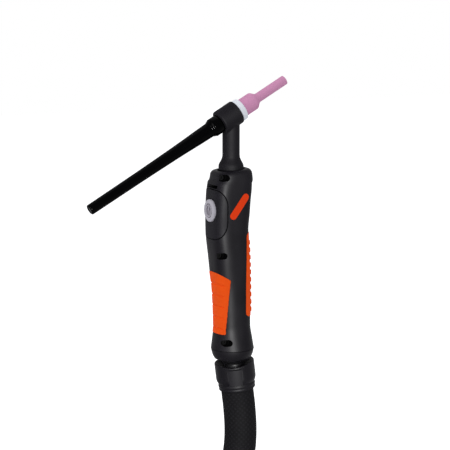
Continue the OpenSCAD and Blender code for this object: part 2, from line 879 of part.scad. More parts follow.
// ---- Cable: the route from the cuff down to the coil, in round numbers ----
cable_route = [[4.5, 0, -91], [5.5, 0, -99], [6.5, 0, -107], [7.5, 0, -114.5], [8.3, 0, -123], [9, 0, -133],
    [9, 0, -144], [8, 0, -155], [5, 0, -170], [-1, 0, -187], [-7, 0, -199], [-15, 0, -211],
    [-24, 0, -221.5], [-34, 0, -231], [-44, 0, -238.5], [-55, 0, -245], [-71, 0, -252], [-85, 0, -256],
    [-97, 0, -258], [-109, 0, -259], [-110, 0, -259]];
steps = 24;
strap_gap = 0.8;
coil_start = cable_route[len(cable_route) - 1];
coil_entry = coil_start - [cable_d, 0, 0];
coil_outer_r = coil_inner_r + turn_pitch * layer_turns;
coil_middle = coil_entry + [0, coil_outer_r, 0];
low_z = coil_entry[2] - turn_pitch;
floor_z = low_z - cable_d / 2 - strap_gap - strap_t;
// The coil spirals in on top, drops a layer in the half turn where it reverses, and spirals out below
function coil_r(t) = coil_inner_r + turn_pitch * abs(layer_turns - t);
function coil_drop(t) = (1 - cos(180 * min(1, max(0, (t - layer_turns + 0.25) * 2)))) / 2;
function coil_point(t) = [
    coil_middle[0] + coil_r(t) * cos(-90 - 360 * t),
    coil_middle[1] + coil_r(t) * sin(-90 - 360 * t),
    coil_entry[2] - turn_pitch * coil_drop(t)
];
coil_turns = [for (i = [1 : steps * 2 * layer_turns - 1]) coil_point(i / steps)];
plug_z = floor_z + nut_d / 2;
tail_run = 60;
tail_x = coil_entry[0];
tail_rise = plug_z - low_z;
coil_tail = [for (s = [0, 0.25, 0.5, 0.75, 1])
    [tail_x - tail_run * s, 0, low_z + tail_rise * (1 - cos(180 * s)) / 2]];
cable_end_x = tail_x - tail_run - cable_d;
coil_path = concat([coil_start, coil_start - [cable_d * 0.9, 0, 0]], coil_turns, coil_tail,
    [[cable_end_x, 0, plug_z]]);
function path_length(path, i = 0) =
    i >= len(path) - 1 ? 0 : norm(path[i + 1] - path[i]) + path_length(path, i + 1);
least_gap = min([for (i = [0 : len(coil_path) - 1], j = [i + 14 : 1 : len(coil_path) - 1])
    norm(coil_path[i] - coil_path[j])]) - cable_d;
echo("Least gap between the coil's turns", least_gap);
echo("Length of the cable outside the cuff",
    path_length(cable_route) + path_length(coil_path) - 10.5);

module cable_drop() {
    color([0.12, 0.12, 0.12])
        tube_along(cable_route, cable_d, 10, [0, 1, 0]);
}
module cable_coil() {
    color([0.12, 0.12, 0.12])
        tube_along(coil_path, cable_d, 6, [0, 0, 1]);
}

strap_w = 16;
strap_turns = [0.35, 0.65];
module strap_outline(grow) {
    r = cable_d / 2 + grow;
    wide = turn_pitch * (layer_turns - 0.7);
    translate([-r, 0])
        square([wide + 2 * r, turn_pitch]);
    translate([0, -r])
        square([wide, turn_pitch + 2 * r]);
    for (x = [0, wide], z = [0, turn_pitch])
        translate([x, z])
            circle(r = r, $fn = 48);
}
module cable_ties() {
    color([0.05, 0.05, 0.05])
        for (t = strap_turns)
            translate([coil_middle[0], coil_middle[1], low_z])
                rotate([0, 0, -90 - 360 * t])
                    translate([coil_inner_r + turn_pitch * 0.35, 0, 0])
                        along_y(-strap_w / 2, strap_w / 2)
                            difference() {
                                strap_outline(strap_gap + strap_t);
                                strap_outline(strap_gap);
                            }
}

// ---- Plug: depths along the plug's axis from the cable's end ----
housing = [6, 44];
body_span = [30, 49];
nut_span = [44.4, 66];
pin_to = 72;
root_to = 53.5;
root_d = pin_d + 0.6;
core_r = 12;
nut_bore = nut_d - 7;
module at_plug() {
    translate([cable_end_x, 0, plug_z])
        rotate([0, -90, 0])
            children();
}
module plug_boot() {
    inner = cable_d / 2 + 0.1;
    color([0.08, 0.08, 0.08])
        at_plug()
            rotate_extrude($fn = 96)
                polygon([[inner, -24], [inner + 0.9, -24], [inner + 1.2, -20], [inner + 1.5, -12],
                    [plug_d / 2 - 0.6, -2], [plug_d / 2 - 0.6, housing[0]],
                    [core_r - 2, housing[0]], [core_r - 2, 0.05], [inner, 0.05]]);
}
module plug_half(side) {
    at_plug()
        difference() {
            intersection() {
                rotate_extrude($fn = 96)
                    polygon([[0, housing[0]], [plug_d / 2 - 0.8, housing[0]], [plug_d / 2, housing[0] + 0.8],
                        [plug_d / 2, housing[1] - 8], [plug_d / 2 - 1.4, housing[1] - 6],
                        [plug_d / 2 - 1.4, housing[1]], [0, housing[1]]]);
                half(side);
            }
            translate([0, 0, housing[0] - 1])
                cylinder(d = 2 * core_r - 4, h = 40, $fn = 64);
            translate([0, 0, body_span[0]])
                cylinder(d = 2 * core_r + 2 * fit, h = 40, $fn = 64);
            for (x = [-13.6, 13.6])
                translate([x, 0, 18])
                    rotate([90, 0, 0]) {
                        translate([0, 0, -5])
                            cylinder(d = 2.1, h = far, $fn = 32);
                        translate([0, 0, 3.4])
                            cylinder(d = 4.6, h = far, $fn = 32);
                    }
        }
}
module plug_shell_left() {
    color([0.16, 0.16, 0.18])
        plug_half(-1);
}
module plug_shell_right() {
    color([0.18, 0.18, 0.2])
        plug_half(1);
}
module plug_screws() {
    color("silver")
        at_plug()
            for (x = [-13.6, 13.6])
                translate([x, 0, 18])
                    rotate([90, 0, 0]) {
                        translate([0, 0, -4.5])
                            cylinder(d = 2, h = 8, $fn = 32);
                        translate([0, 0, 3.4])
                            cylinder(d = 4, h = 1.6, $fn = 32);
                    }
}
module plug_body() {
    color([0.3, 0.3, 0.32])
        at_plug()
            difference() {
                union() {
                    translate([0, 0, body_span[0]])
                        cylinder(r = core_r, h = body_span[1] - body_span[0] + 3, $fn = 96);
                    translate([0, 0, nut_span[0] + 3.1])
                        cylinder(r = core_r + 1.6, h = 2.4, $fn = 96);
                }
                cylinder(d = root_d + 2 * fit, h = far, $fn = 64);
                for (y = [-9, 9])
                    translate([0, y, 0])
                        cylinder(d = 2 + 2 * fit, h = far * 2, $fn = 32);
            }
}
module plug_nut() {
    r = nut_d / 2;
    color([0.35, 0.35, 0.38])
        at_plug()
            difference() {
                translate([0, 0, nut_span[0]])
                    cylinder(r = r, h = nut_span[1] - nut_span[0], $fn = 96);
                translate([0, 0, nut_span[0] - 1])
                    cylinder(r = core_r + 0.08, h = far, $fn = 96);
                translate([0, 0, nut_span[0] + 3])
                    cylinder(d = nut_bore, h = far, $fn = 96);
                for (a = [0 : 15 : 345])
                    rotate([0, 0, a])
                        translate([r + 0.5, 0, nut_span[0] + 3])
                            cylinder(r = 1.3, h = nut_span[1] - nut_span[0] - 6, $fn = 24);
            }
}
module plug_pin() {
    color("gold")
        at_plug()
            difference() {
                union() {
                    translate([0, 0, body_span[0] - 6])
                        cylinder(d = root_d, h = root_to - body_span[0] + 6, $fn = 64);
                    translate([0, 0, body_span[0]])
                        cylinder(d = pin_d, h = pin_to - body_span[0], $fn = 64);
                }
                translate([0, 0, body_span[0] - 7])
                    cylinder(d = 3.4, h = far * 2, $fn = 48);
            }
}
module plug_contacts() {
    color("gold")
        at_plug()
            for (y = [-9, 9])
                translate([0, y, body_span[0]])
                    cylinder(d = 2, h = body_span[1] - body_span[0] + 11, $fn = 32);
}
module plug_seal() {
    color([0.1, 0.1, 0.1])
        at_plug()
            translate([0, 0, body_span[1] + 3.6])
                ring_seal(root_d + 1.3, 1.1);
}

torch_core();
head_cover();
neck_tube();
lead_coupler();
insulator_ring();
collet_body();
collet();
electrode();
nozzle();
back_cap();
cap_seal();
shell_left();
shell_right();
front_grip();
rear_grip();
label_plate();
switch_panel();
button();
switch_plunger();
microswitch();
control_lead();
power_cable();
shell_screws();
knuckle_ball();
cuff_left();
cuff_right();
cuff_clip();
cable_drop();
cable_coil();
cable_ties();
plug_boot();
plug_shell_left();
plug_shell_right();
plug_screws();
plug_body();
plug_nut();
plug_pin();
plug_contacts();
plug_seal();
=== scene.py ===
import json
import math
import bpy
from mathutils import Matrix, Vector


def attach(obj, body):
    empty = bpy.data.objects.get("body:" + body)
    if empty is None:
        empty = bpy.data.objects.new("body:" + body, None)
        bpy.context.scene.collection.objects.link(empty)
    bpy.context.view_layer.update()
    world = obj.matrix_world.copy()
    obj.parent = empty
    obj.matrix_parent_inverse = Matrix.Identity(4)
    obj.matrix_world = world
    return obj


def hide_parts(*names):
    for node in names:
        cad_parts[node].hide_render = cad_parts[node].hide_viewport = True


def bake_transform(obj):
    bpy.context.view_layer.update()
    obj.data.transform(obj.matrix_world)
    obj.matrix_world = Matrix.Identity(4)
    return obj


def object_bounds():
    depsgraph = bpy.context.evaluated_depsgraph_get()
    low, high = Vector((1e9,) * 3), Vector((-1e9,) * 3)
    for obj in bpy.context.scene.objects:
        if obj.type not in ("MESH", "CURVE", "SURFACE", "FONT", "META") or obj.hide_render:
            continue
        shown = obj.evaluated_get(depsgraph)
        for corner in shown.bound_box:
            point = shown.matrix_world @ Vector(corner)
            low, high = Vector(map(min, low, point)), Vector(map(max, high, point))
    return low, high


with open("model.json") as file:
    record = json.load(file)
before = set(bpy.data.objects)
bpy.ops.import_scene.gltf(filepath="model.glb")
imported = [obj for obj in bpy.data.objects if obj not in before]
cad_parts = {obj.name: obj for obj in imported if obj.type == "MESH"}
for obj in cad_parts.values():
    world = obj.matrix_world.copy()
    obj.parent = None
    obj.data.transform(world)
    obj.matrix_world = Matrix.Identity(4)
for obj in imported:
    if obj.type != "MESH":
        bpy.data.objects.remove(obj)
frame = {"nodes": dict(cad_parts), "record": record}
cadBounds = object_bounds()
nodes = frame["nodes"]
mm = 0.001


# Camera, lamps, world and floor
viewSettings = {"azimuth": -26.5, "elevation": 8.8, "distance": 1800, "pixelsPerMm": 1.2, "halfFrame": 225,
                "targetHeight": 37.9, "targetShift": 5.0}


def addCamera(s):
    a, e = math.radians(s["azimuth"]), math.radians(s["elevation"])
    back = Vector((math.sin(a) * math.cos(e), -math.cos(a) * math.cos(e), math.sin(e)))
    right = Vector((math.cos(a), math.sin(a), 0))
    target = (Vector((0, 0, s["targetHeight"])) - right * s["targetShift"]) * mm
    data = bpy.data.cameras.new("frontCamera")
    camera = bpy.data.objects.new("frontCamera", data)
    bpy.context.scene.collection.objects.link(camera)
    camera.location = target + back * s["distance"] * mm
    camera.rotation_mode = "QUATERNION"
    camera.rotation_quaternion = (-back).to_track_quat("-Z", "Y")
    data.sensor_width = 36
    data.lens = 18 * s["pixelsPerMm"] * s["distance"] / s["halfFrame"]
    data.clip_start, data.clip_end = 0.05, 50
    bpy.context.scene.camera = camera


# Metres and watts; a lamp with glossOnly draws highlights on the dark pieces and lights no matt surface
lampSettings = {
    "key": {"place": (-1.3, -1.1, 1.2), "aim": (0, 0, 0.03), "size": (0.7, 0.7), "power": 14},
    "strip": {"place": (-0.7, -1.87, 0.15), "aim": (0, 0, 0.13), "size": (0.2, 0.86), "power": 300,
              "glossOnly": True},
    "sheen": {"place": (-1.75, -1.0, 0.5), "aim": (0, 0, 0.03), "size": (1.2, 1.2), "power": 40,
              "glossOnly": True},
    "side": {"place": (-1.7, -0.15, 0.35), "aim": (0, 0, 0.03), "size": (0.25, 1.2), "power": 3},
    "fill": {"place": (1.6, -1.0, 0.8), "aim": (0, 0, 0.03), "size": (0.8, 1.2), "power": 5},
    "top": {"place": (0.1, 0.5, 1.9), "aim": (0, 0, 0), "size": (1.4, 1.4), "power": 8},
}
pale = bpy.data.collections.new("palePieces")
paleSlots = ("ceramic_pink", "ring_white", "soft_grip", "label_orange", "button_grey")


def addLamps(settings):
    for name, s in settings.items():
        data = bpy.data.lights.new(name + "Lamp", "AREA")
        data.shape = "RECTANGLE"
        data.size, data.size_y = s["size"]
        data.energy = s["power"]
        lamp = bpy.data.objects.new(name + "Lamp", data)
        lamp.visible_camera = False
        if s.get("glossOnly", False):
            lamp.visible_diffuse = False
            lamp.light_linking.receiver_collection = pale
        bpy.context.scene.collection.objects.link(lamp)
        lamp.location = s["place"]
        lamp.rotation_mode = "QUATERNION"
        lamp.rotation_quaternion = (Vector(s["aim"]) - Vector(s["place"])).to_track_quat("-Z", "Y")


def mathNode(tree, operation, first, second):
    node = tree.nodes.new("ShaderNodeMath")
    node.operation = operation
    tree.links.new(first, node.inputs[0])
    if isinstance(second, float):
        node.inputs[1].default_value = second
    else:
        tree.links.new(second, node.inputs[1])
    return node.outputs[0]


def anySeenRay(tree):
    # 1 for camera, glossy and transmission rays
    rays = tree.nodes.new("ShaderNodeLightPath").outputs
    seen = mathNode(tree, "MAXIMUM", rays["Is Camera Ray"], rays["Is Glossy Ray"])
    return mathNode(tree, "MAXIMUM", seen, rays["Is Transmission Ray"])


def addWorld(diffuseLevel=0.5):
    world = bpy.data.worlds.new("softStudio")
    bpy.context.scene.world = world
    world.use_nodes = True
    tree = world.node_tree
    tree.nodes.clear()
    out = tree.nodes.new("ShaderNodeOutputWorld")
    seen = tree.nodes.new("ShaderNodeBackground")
    seen.inputs["Color"].default_value = (1, 1, 1, 1)
    seen.inputs["Strength"].default_value = 1
    light = tree.nodes.new("ShaderNodeBackground")
    light.inputs["Color"].default_value = (0.95, 0.97, 1, 1)
    light.inputs["Strength"].default_value = diffuseLevel
    mix = tree.nodes.new("ShaderNodeMixShader")
    tree.links.new(anySeenRay(tree), mix.inputs[0])
    tree.links.new(light.outputs[0], mix.inputs[1])
    tree.links.new(seen.outputs[0], mix.inputs[2])
    tree.links.new(mix.outputs[0], out.inputs["Surface"])


def addFloor(height, halfSize=4.0, glow=0.75):
    bpy.ops.mesh.primitive_plane_add(size=2 * halfSize, location=(0, 0, height))
    floor = bpy.context.object
    floor.name = "studioFloor"
    material = bpy.data.materials.new("studioFloorPaint")
    material.use_nodes = True
    tree = material.node_tree
    tree.nodes.clear()
    out = tree.nodes.new("ShaderNodeOutputMaterial")
    paint = tree.nodes.new("ShaderNodeBsdfDiffuse")
    paint.inputs["Color"].default_value = (0.9, 0.9, 0.9, 1)
    shine = tree.nodes.new("ShaderNodeEmission")
    shine.inputs["Color"].default_value = (1, 1, 1, 1)
    tree.links.new(mathNode(tree, "MULTIPLY", anySeenRay(tree), glow), shine.inputs["Strength"])
    add = tree.nodes.new("ShaderNodeAddShader")
    tree.links.new(paint.outputs[0], add.inputs[0])
    tree.links.new(shine.outputs[0], add.inputs[1])
    tree.links.new(add.outputs[0], out.inputs["Surface"])
    floor.data.materials.append(material)
    pale.objects.link(floor)


addCamera(viewSettings)
addLamps(lampSettings)
addWorld()
addFloor(cadBounds[0].z)
bpy.context.scene.view_settings.view_transform = "Standard"
print("camera, lamps and floor are in place")


# Materials
def newMaterial(name):
    material = bpy.data.materials.new(name)
    material.use_nodes = True
    tree = material.node_tree
    return material, tree, tree.nodes["Principled BSDF"]


def noise(tree, scale, detail=3, roughness=0.5, stretch=None):
    n = tree.nodes.new("ShaderNodeTexNoise")
    n.inputs["Scale"].default_value = scale
    n.inputs["Detail"].default_value = detail
    n.inputs["Roughness"].default_value = roughness
    coordinates = tree.nodes.new("ShaderNodeTexCoord").outputs["Object"]
    if stretch:
        mapping = tree.nodes.new("ShaderNodeMapping")
        mapping.inputs["Scale"].default_value = stretch
        tree.links.new(coordinates, mapping.inputs["Vector"])
        coordinates = mapping.outputs[0]
    tree.links.new(coordinates, n.inputs["Vector"])
    return n.outputs["Fac"]


def tint(tree, shader, source, low, high, colors):
    ramp = tree.nodes.new("ShaderNodeValToRGB")
    for element, position, color in zip(ramp.color_ramp.elements, (low, high), colors):
        element.position, element.color = position, (*color, 1)
    tree.links.new(source, ramp.inputs[0])
    tree.links.new(ramp.outputs["Color"], shader.inputs["Base Color"])


def roughen(tree, shader, source, smoothest, roughest):
    spread = tree.nodes.new("ShaderNodeMapRange")
    for key, value in (("From Min", 0.3), ("From Max", 0.7), ("To Min", smoothest), ("To Max", roughest)):
        spread.inputs[key].default_value = value
    tree.links.new(source, spread.inputs["Value"])
    tree.links.new(spread.outputs[0], shader.inputs["Roughness"])


def bump(tree, shader, height, strength, distance):
    b = tree.nodes.new("ShaderNodeBump")
    b.inputs["Strength"].default_value = strength
    b.inputs["Distance"].default_value = distance
    tree.links.new(height, b.inputs["Height"])
    tree.links.new(b.outputs[0], shader.inputs["Normal"])


def grained(name, color, roughness, specular, grainScale, grain, patch):
    # Moulded surface: slow patches of shade and gloss over a fine grain
    material, tree, shader = newMaterial(name)
    patches = noise(tree, 45)
    colors = [c * (1 - patch) for c in color], [min(1, c * (1 + patch)) for c in color]
    tint(tree, shader, patches, 0.3, 0.7, colors)
    roughen(tree, shader, patches, roughness - 0.05, roughness + 0.06)
    shader.inputs["Specular IOR Level"].default_value = specular
    bump(tree, shader, noise(tree, grainScale, 2, 0.6), grain, 0.0002)
    return material


def turned(name, color, roughness, marksAlong):
    # Turned or drawn metal: stretched noise for the tool marks, patches of tarnish
    material, tree, shader = newMaterial(name)
    shader.inputs["Metallic"].default_value = 1
    tarnished = [c * 0.72 for c in color]
    tint(tree, shader, noise(tree, 120, 4), 0.35, 0.65, (tarnished, color))
    marks = noise(tree, 900, 2, stretch=marksAlong)
    roughen(tree, shader, marks, roughness - 0.08, roughness + 0.1)
    bump(tree, shader, marks, 0.15, 0.0001)
    return material


sheathWeave = {"color": (0.011, 0.0105, 0.0125), "scale": 105, "angle": 45, "relief": 0.25, "roughness": 0.78,
               "specular": 0.025}


def woven(name, s):
    # Plaited sheath; reads the piece's own UV map, in metres
    material, tree, shader = newMaterial(name)
    uv = tree.nodes.new("ShaderNodeUVMap")
    uv.uv_map = "UVMap"
    mapping = tree.nodes.new("ShaderNodeMapping")
    mapping.inputs["Rotation"].default_value = (0, 0, math.radians(s["angle"]))
    tree.links.new(uv.outputs[0], mapping.inputs["Vector"])
    heights = []
    for direction in ("X", "Y"):
        wave = tree.nodes.new("ShaderNodeTexWave")
        wave.bands_direction = direction
        wave.inputs["Scale"].default_value = s["scale"]
        wave.inputs["Distortion"].default_value = 0.4
        tree.links.new(mapping.outputs[0], wave.inputs["Vector"])
        heights.append(wave.outputs["Fac"])
    threads = mathNode(tree, "MULTIPLY", *heights)
    between = [c * 0.45 for c in s["color"]]
    tint(tree, shader, threads, 0.05, 0.8, (between, s["color"]))
    roughen(tree, shader, noise(tree, 30), s["roughness"] - 0.06, s["roughness"] + 0.08)
    shader.inputs["Specular IOR Level"].default_value = s["specular"]
    bump(tree, shader, threads, s["relief"], 0.0006)
    return material


# Moulded and fired pieces: colour, roughness, specular, grain scale, grain, patch
mouldedFinishes = {
    "black_plastic": ((0.0046, 0.0038, 0.0062), 0.5, 0.05, 2600, 0.12, 0.15),
    "panel_plastic": ((0.005, 0.0042, 0.007), 0.6, 0.05, 3200, 0.06, 0.12),
    "head_plastic": ((0.0062, 0.0054, 0.0078), 0.62, 0.035, 2600, 0.12, 0.15),
    # painted shade: a darker grey laid on the button's dished face, where shade falls
    "button_shade": ((0.29, 0.27, 0.31), 0.5, 0.05, 2400, 0.1, 0.05),
    "satin_plastic": ((0.009, 0.0085, 0.011), 0.3, 0.45, 1600, 0.05, 0.1),
    "black_screw": ((0.004, 0.004, 0.0045), 0.6, 0.03, 2200, 0.1, 0.2),
    # painted shade: near-black colour laid on the recess walls and floors and in the finger slot, where shade
    # falls
    "recess_black": ((0.001, 0.001, 0.0012), 0.7, 0.01, 900, 0.1, 0.1),
    "cap_plastic": ((0.0008, 0.0008, 0.001), 0.12, 0.016, 900, 0.03, 0.1),
    "soft_grip": ((0.84, 0.085, 0.007), 0.6, 0.05, 2200, 0.14, 0.05),
    "label_orange": ((0.78, 0.05, 0.008), 0.5, 0.04, 1500, 0.06, 0.04),
    "button_grey": ((0.44, 0.42, 0.47), 0.45, 0.07, 2400, 0.1, 0.05),
    "ceramic_pink": ((0.59, 0.27, 0.44), 0.6, 0.04, 700, 0.01, 0.03),
    "ring_white": ((0.74, 0.765, 0.82), 0.5, 0.03, 700, 0.01, 0.02),
    "lead_rubber": ((0.012, 0.012, 0.013), 0.5, 0.08, 1500, 0.12, 0.15),
    "strap_fabric": ((0.01, 0.01, 0.011), 0.85, 0.08, 1400, 0.5, 0.2),
}
# Metals: colour, roughness, and how far the tool marks are stretched along x, y and z
metalFinishes = {
    "brass": ("turnedBrass", (0.72, 0.5, 0.2), 0.3, (1, 1, 0.1)),
    "copper": ("drawnCopper", (0.72, 0.36, 0.22), 0.32, (1, 1, 0.1)),
    "tungsten": ("groundTungsten", (0.42, 0.42, 0.44), 0.35, (0.1, 1, 0.1)),
    "steel": ("turnedSteel", (0.06, 0.06, 0.065), 0.3, (1, 0.1, 1)),
    "dark_metal": ("darkMetal", (0.09, 0.09, 0.1), 0.38, (0.1, 1, 1)),
}


def camelCase(slot):
    first, second = slot.split("_")
    return first + second.title()


finishes = {slot: grained(camelCase(slot), *values) for slot, values in mouldedFinishes.items()}
finishes.update({slot: turned(*values) for slot, values in metalFinishes.items()})
finishes["cable_sheath"] = woven("cableSheath", sheathWeave)
nodeFinish = {p["node"]: p["material_slot"] for p in frame["record"]["subparts"]}
for nodeName, node in nodes.items():
    node.data.materials.clear()
    node.data.materials.append(finishes[nodeFinish[nodeName]])
nodes["shell_screws"].data.materials[0] = finishes["black_screw"]
print("materials are made")


# Curves and shares
def curvePoint(points, i, t):
    # On a smooth curve through the points, at share t of the stretch that starts at point i
    p0, p1, p2, p3 = (points[min(max(k, 0), len(points) - 1)] for k in range(i - 1, i + 3))
    return 0.5 * (2 * p1 + (p2 - p0) * t + (2 * p0 - 5 * p1 + 4 * p2 - p3) * t * t
                  + (3 * p1 - p0 - 3 * p2 + p3) * t * t * t)


def ease(share):
    return (1 - math.cos(math.pi * share)) / 2


def clamped(value, low=0, high=1):
    return min(high, max(low, value))


# The cable, from the cuff to the plug, as one sheath. Its hanging part is (x, z) pairs; nutDiameter and
# strap set how high the plug lies
cableShape = {
    "diameter": 27.4,
    "hang": [(4.5, -91), (5.5, -99), (6.5, -107), (7.5, -114.5), (8.3, -123), (9, -133), (9, -144), (8, -155),
             (5, -170), (-1, -187), (-7, -199), (-15, -211), (-24, -221.5), (-34, -231), (-44, -238.5),
             (-55, -245), (-71, -252), (-85, -256), (-97, -258), (-109, -259), (-110, -259)],
    "innerRadius": 117, "pitch": 28.2, "layerTurns": 2, "tail": 60, "sides": 40, "stepsPerTurn": 72,
    "hangSteps": 80, "nutDiameter": 38, "strap": 2.0,
}


def cablePath(s):
    # Same route as the solid, with more points
    d, pitch, turns = s["diameter"], s["pitch"], s["layerTurns"]
    hang = [Vector((x, 0, z)) for x, z in s["hang"]]
    points = []
    for i in range(len(hang) - 1):
        steps = 3 if (hang[i + 1] - hang[i]).length > 3 else 1
        points += [curvePoint(hang, i, k / steps) for k in range(steps)]
    start = hang[-1]
    entry = start - Vector((d, 0, 0))
    points += [start.lerp(entry, k / 4) for k in range(4)]
    middle = entry + Vector((0, s["innerRadius"] + pitch * turns, 0))
    count = s["stepsPerTurn"] * 2 * turns
    for i in range(count + 1):
        t = i / s["stepsPerTurn"]
        r = s["innerRadius"] + pitch * abs(turns - t)
        drop = ease(clamped((t - turns + 0.25) * 2))
        a = math.radians(-90 - 360 * t)
        points.append(middle + Vector((r * math.cos(a), r * math.sin(a), -pitch * drop)))
    low = entry.z - pitch
    plugZ = low - d / 2 - s["strap"] + s["nutDiameter"] / 2
    for k in range(1, 13):
        points.append(Vector((entry.x - s["tail"] * k / 12, 0, low + (plugZ - low) * ease(k / 12))))
    points += [Vector((entry.x - s["tail"] - d * k / 4, 0, plugZ)) for k in range(1, 5)]
    return [p * mm for p in points], entry.x - s["tail"] - d, plugZ


def sweepTube(name, path, radius, sides, across):
    vertices, faces, lengths = [], [], [0.0]
    count = len(path)
    for i in range(1, count):
        lengths.append(lengths[-1] + (path[i] - path[i - 1]).length)
    for i, p in enumerate(path):
        t = (path[min(i + 1, count - 1)] - path[max(i - 1, 0)]).normalized()
        guide = across(i)
        n = (guide - t * guide.dot(t)).normalized()
        m = t.cross(n)
        for j in range(sides):
            a = 2 * math.pi * j / sides
            vertices.append(p + radius * (math.cos(a) * n + math.sin(a) * m))
    for i in range(count - 1):
        for j in range(sides):
            k = (j + 1) % sides
            faces.append((i * sides + j, i * sides + k, (i + 1) * sides + k, (i + 1) * sides + j))
    faces.append(tuple(reversed(range(sides))))
    faces.append(tuple((count - 1) * sides + j for j in range(sides)))
    mesh = bpy.data.meshes.new(name)
    mesh.from_pydata([tuple(v) for v in vertices], [], faces)
    uv = mesh.uv_layers.new(name="UVMap")
    turn = 2 * math.pi * radius
    for face in mesh.polygons:
        for loop in face.loop_indices:
            ring, side = divmod(mesh.loops[loop].vertex_index, sides)
            # The last strip of faces closes on side 0, which is a full turn round there
            last = any(v % sides == sides - 1 for v in face.vertices)
            around = 1 if side == 0 and last and len(face.vertices) == 4 else side / sides
            uv.data[loop].uv = (around * turn, lengths[ring])
    mesh.update()
    piece = bpy.data.objects.new(name, mesh)
    bpy.context.scene.collection.objects.link(piece)
    for face in mesh.polygons:
        face.use_smooth = len(face.vertices) == 4
    return piece, lengths[-1]


cablePoints, cableEndX, plugHeight = cablePath(cableShape)


def cableGuide(i):
    # A direction across the tube that turns from +Y on the hanging part to up in the coil
    p = cablePoints[i]
    share = clamped((-0.05 - p.x) / 0.07) if i < cableShape["hangSteps"] else 1
    return Vector((0, 1 - share, share))


cableRadius = cableShape["diameter"] / 2
cable, cableLength = sweepTube("cableSheath", cablePoints, cableRadius * mm, cableShape["sides"], cableGuide)
cable.data.materials.append(finishes["cable_sheath"])
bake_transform(cable)
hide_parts("cable_drop", "cable_coil")
print("cable is made")


# Modelling helpers; lengths in millimetres
beyond = 60  # a cutter's reach, past the handle on every side


def selectOnly(piece):
    bpy.ops.object.select_all(action="DESELECT")
    piece.select_set(True)
    bpy.context.view_layer.objects.active = piece


def removePiece(piece):
    bpy.data.objects.remove(piece, do_unlink=True)


def renamed(piece, name):
    piece.name = piece.data.name = name
    return piece


def ringStack(name, sides, count, place, closed=False):
    # A circle extruded ring by ring, then each vertex is put where place(side, ring) says
    bpy.ops.object.select_all(action="DESELECT")
    bpy.ops.mesh.primitive_circle_add(vertices=sides, radius=1, fill_type="NOTHING", location=(0, 0, 0))
    piece = renamed(bpy.context.object, name)
    bpy.ops.object.mode_set(mode="EDIT")
    bpy.ops.mesh.select_all(action="SELECT")
    for _ in range(count - 1):
        bpy.ops.mesh.extrude_edges_move(TRANSFORM_OT_translate={"value": (0, 0, 1)})
    bpy.ops.mesh.select_all(action="DESELECT")
    bpy.ops.mesh.select_non_manifold()
    if closed:
        bpy.ops.mesh.bridge_edge_loops()
    else:
        bpy.ops.mesh.fill_holes(sides=0)
    bpy.ops.object.mode_set(mode="OBJECT")
    for v in piece.data.vertices:
        side = round(math.degrees(math.atan2(v.co.y, v.co.x)) / 360 * sides) % sides
        v.co = Vector(place(side, round(v.co.z))) * mm
    outward(piece)
    return piece


def outward(piece):
    selectOnly(piece)
    bpy.ops.object.mode_set(mode="EDIT")
    bpy.ops.mesh.select_all(action="SELECT")
    bpy.ops.mesh.normals_make_consistent(inside=False)
    bpy.ops.object.mode_set(mode="OBJECT")


def lathe(name, profile, sides=96, closed=False, frameOf=None):
    # profile: (radius, height) pairs; frameOf puts a point of the lathe's own frame in its place
    def place(side, ring):
        r, z = profile[ring]
        a = 2 * math.pi * side / sides
        p = Vector((r * math.cos(a), r * math.sin(a), z))
        return frameOf(p) if frameOf else p
    return ringStack(name, sides, len(profile), place, closed)


def rod(name, radius, low, high, sides=96, frameOf=None):
    return lathe(name, [(radius, low), (radius, high)], sides, frameOf=frameOf)


def shiftedBy(x):
    return lambda p: p + Vector((x, 0, 0))


def prism(name, outline, near, far):
    # outline: (x, z) pairs; the bar runs along y
    def place(side, ring):
        x, z = outline[side]
        return x, far if ring else near, z
    return ringStack(name, len(outline), 2, place)


def box(name, low, high, turn=None, pivot=None):
    bpy.ops.object.select_all(action="DESELECT")
    bpy.ops.mesh.primitive_cube_add(size=1, location=(0, 0, 0))
    piece = renamed(bpy.context.object, name)
    low, high = Vector(low), Vector(high)
    for v in piece.data.vertices:
        p = Vector([low[i] + (v.co[i] + 0.5) * (high[i] - low[i]) for i in range(3)])
        if turn is not None:
            p = pivot + turn @ (p - pivot)
        v.co = p * mm
    return piece


def arc(center, radius, start, end, steps):
    angles = [math.radians(start + (end - start) * k / steps) for k in range(steps + 1)]
    return [(center[0] + radius * math.cos(a), center[1] + radius * math.sin(a)) for a in angles]


def combine(piece, other, operation, keep=False):
    modifier = piece.modifiers.new("combine", "BOOLEAN")
    modifier.object, modifier.operation, modifier.solver = other, operation, "MANIFOLD"
    selectOnly(piece)
    bpy.ops.object.modifier_apply(modifier=modifier.name)
    if not keep:
        removePiece(other)
    return piece


def cut(piece, other, keep=False):
    return combine(piece, other, "DIFFERENCE", keep)


def join(piece, other):
    return combine(piece, other, "UNION")


def common(piece, other, keep=False):
    return combine(piece, other, "INTERSECT", keep)


def copyOf(piece, name):
    new = piece.copy()
    new.data = piece.data.copy()
    bpy.context.scene.collection.objects.link(new)
    return renamed(new, name)


def soften(piece, voxel, rounds, factor=0.5):
    selectOnly(piece)
    remesh = piece.modifiers.new("remesh", "REMESH")
    remesh.mode, remesh.voxel_size = "VOXEL", voxel * mm
    bpy.ops.object.modifier_apply(modifier="remesh")
    smooth = piece.modifiers.new("smooth", "SMOOTH")
    smooth.iterations, smooth.factor = rounds, factor
    bpy.ops.object.modifier_apply(modifier="smooth")
    for face in piece.data.polygons:
        face.use_smooth = True
    return piece


def finish(piece, body, slot, replaced=(), angle=35, paint=None):
    selectOnly(piece)
    if angle:
        bpy.ops.object.shade_smooth_by_angle(angle=math.radians(angle))
    piece.data.materials.clear()
    piece.data.materials.append(finishes[paint or slot])
    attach(piece, body)
    if replaced:
        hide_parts(*replaced)
    if slot in paleSlots:
        pale.objects.link(piece)
    return piece


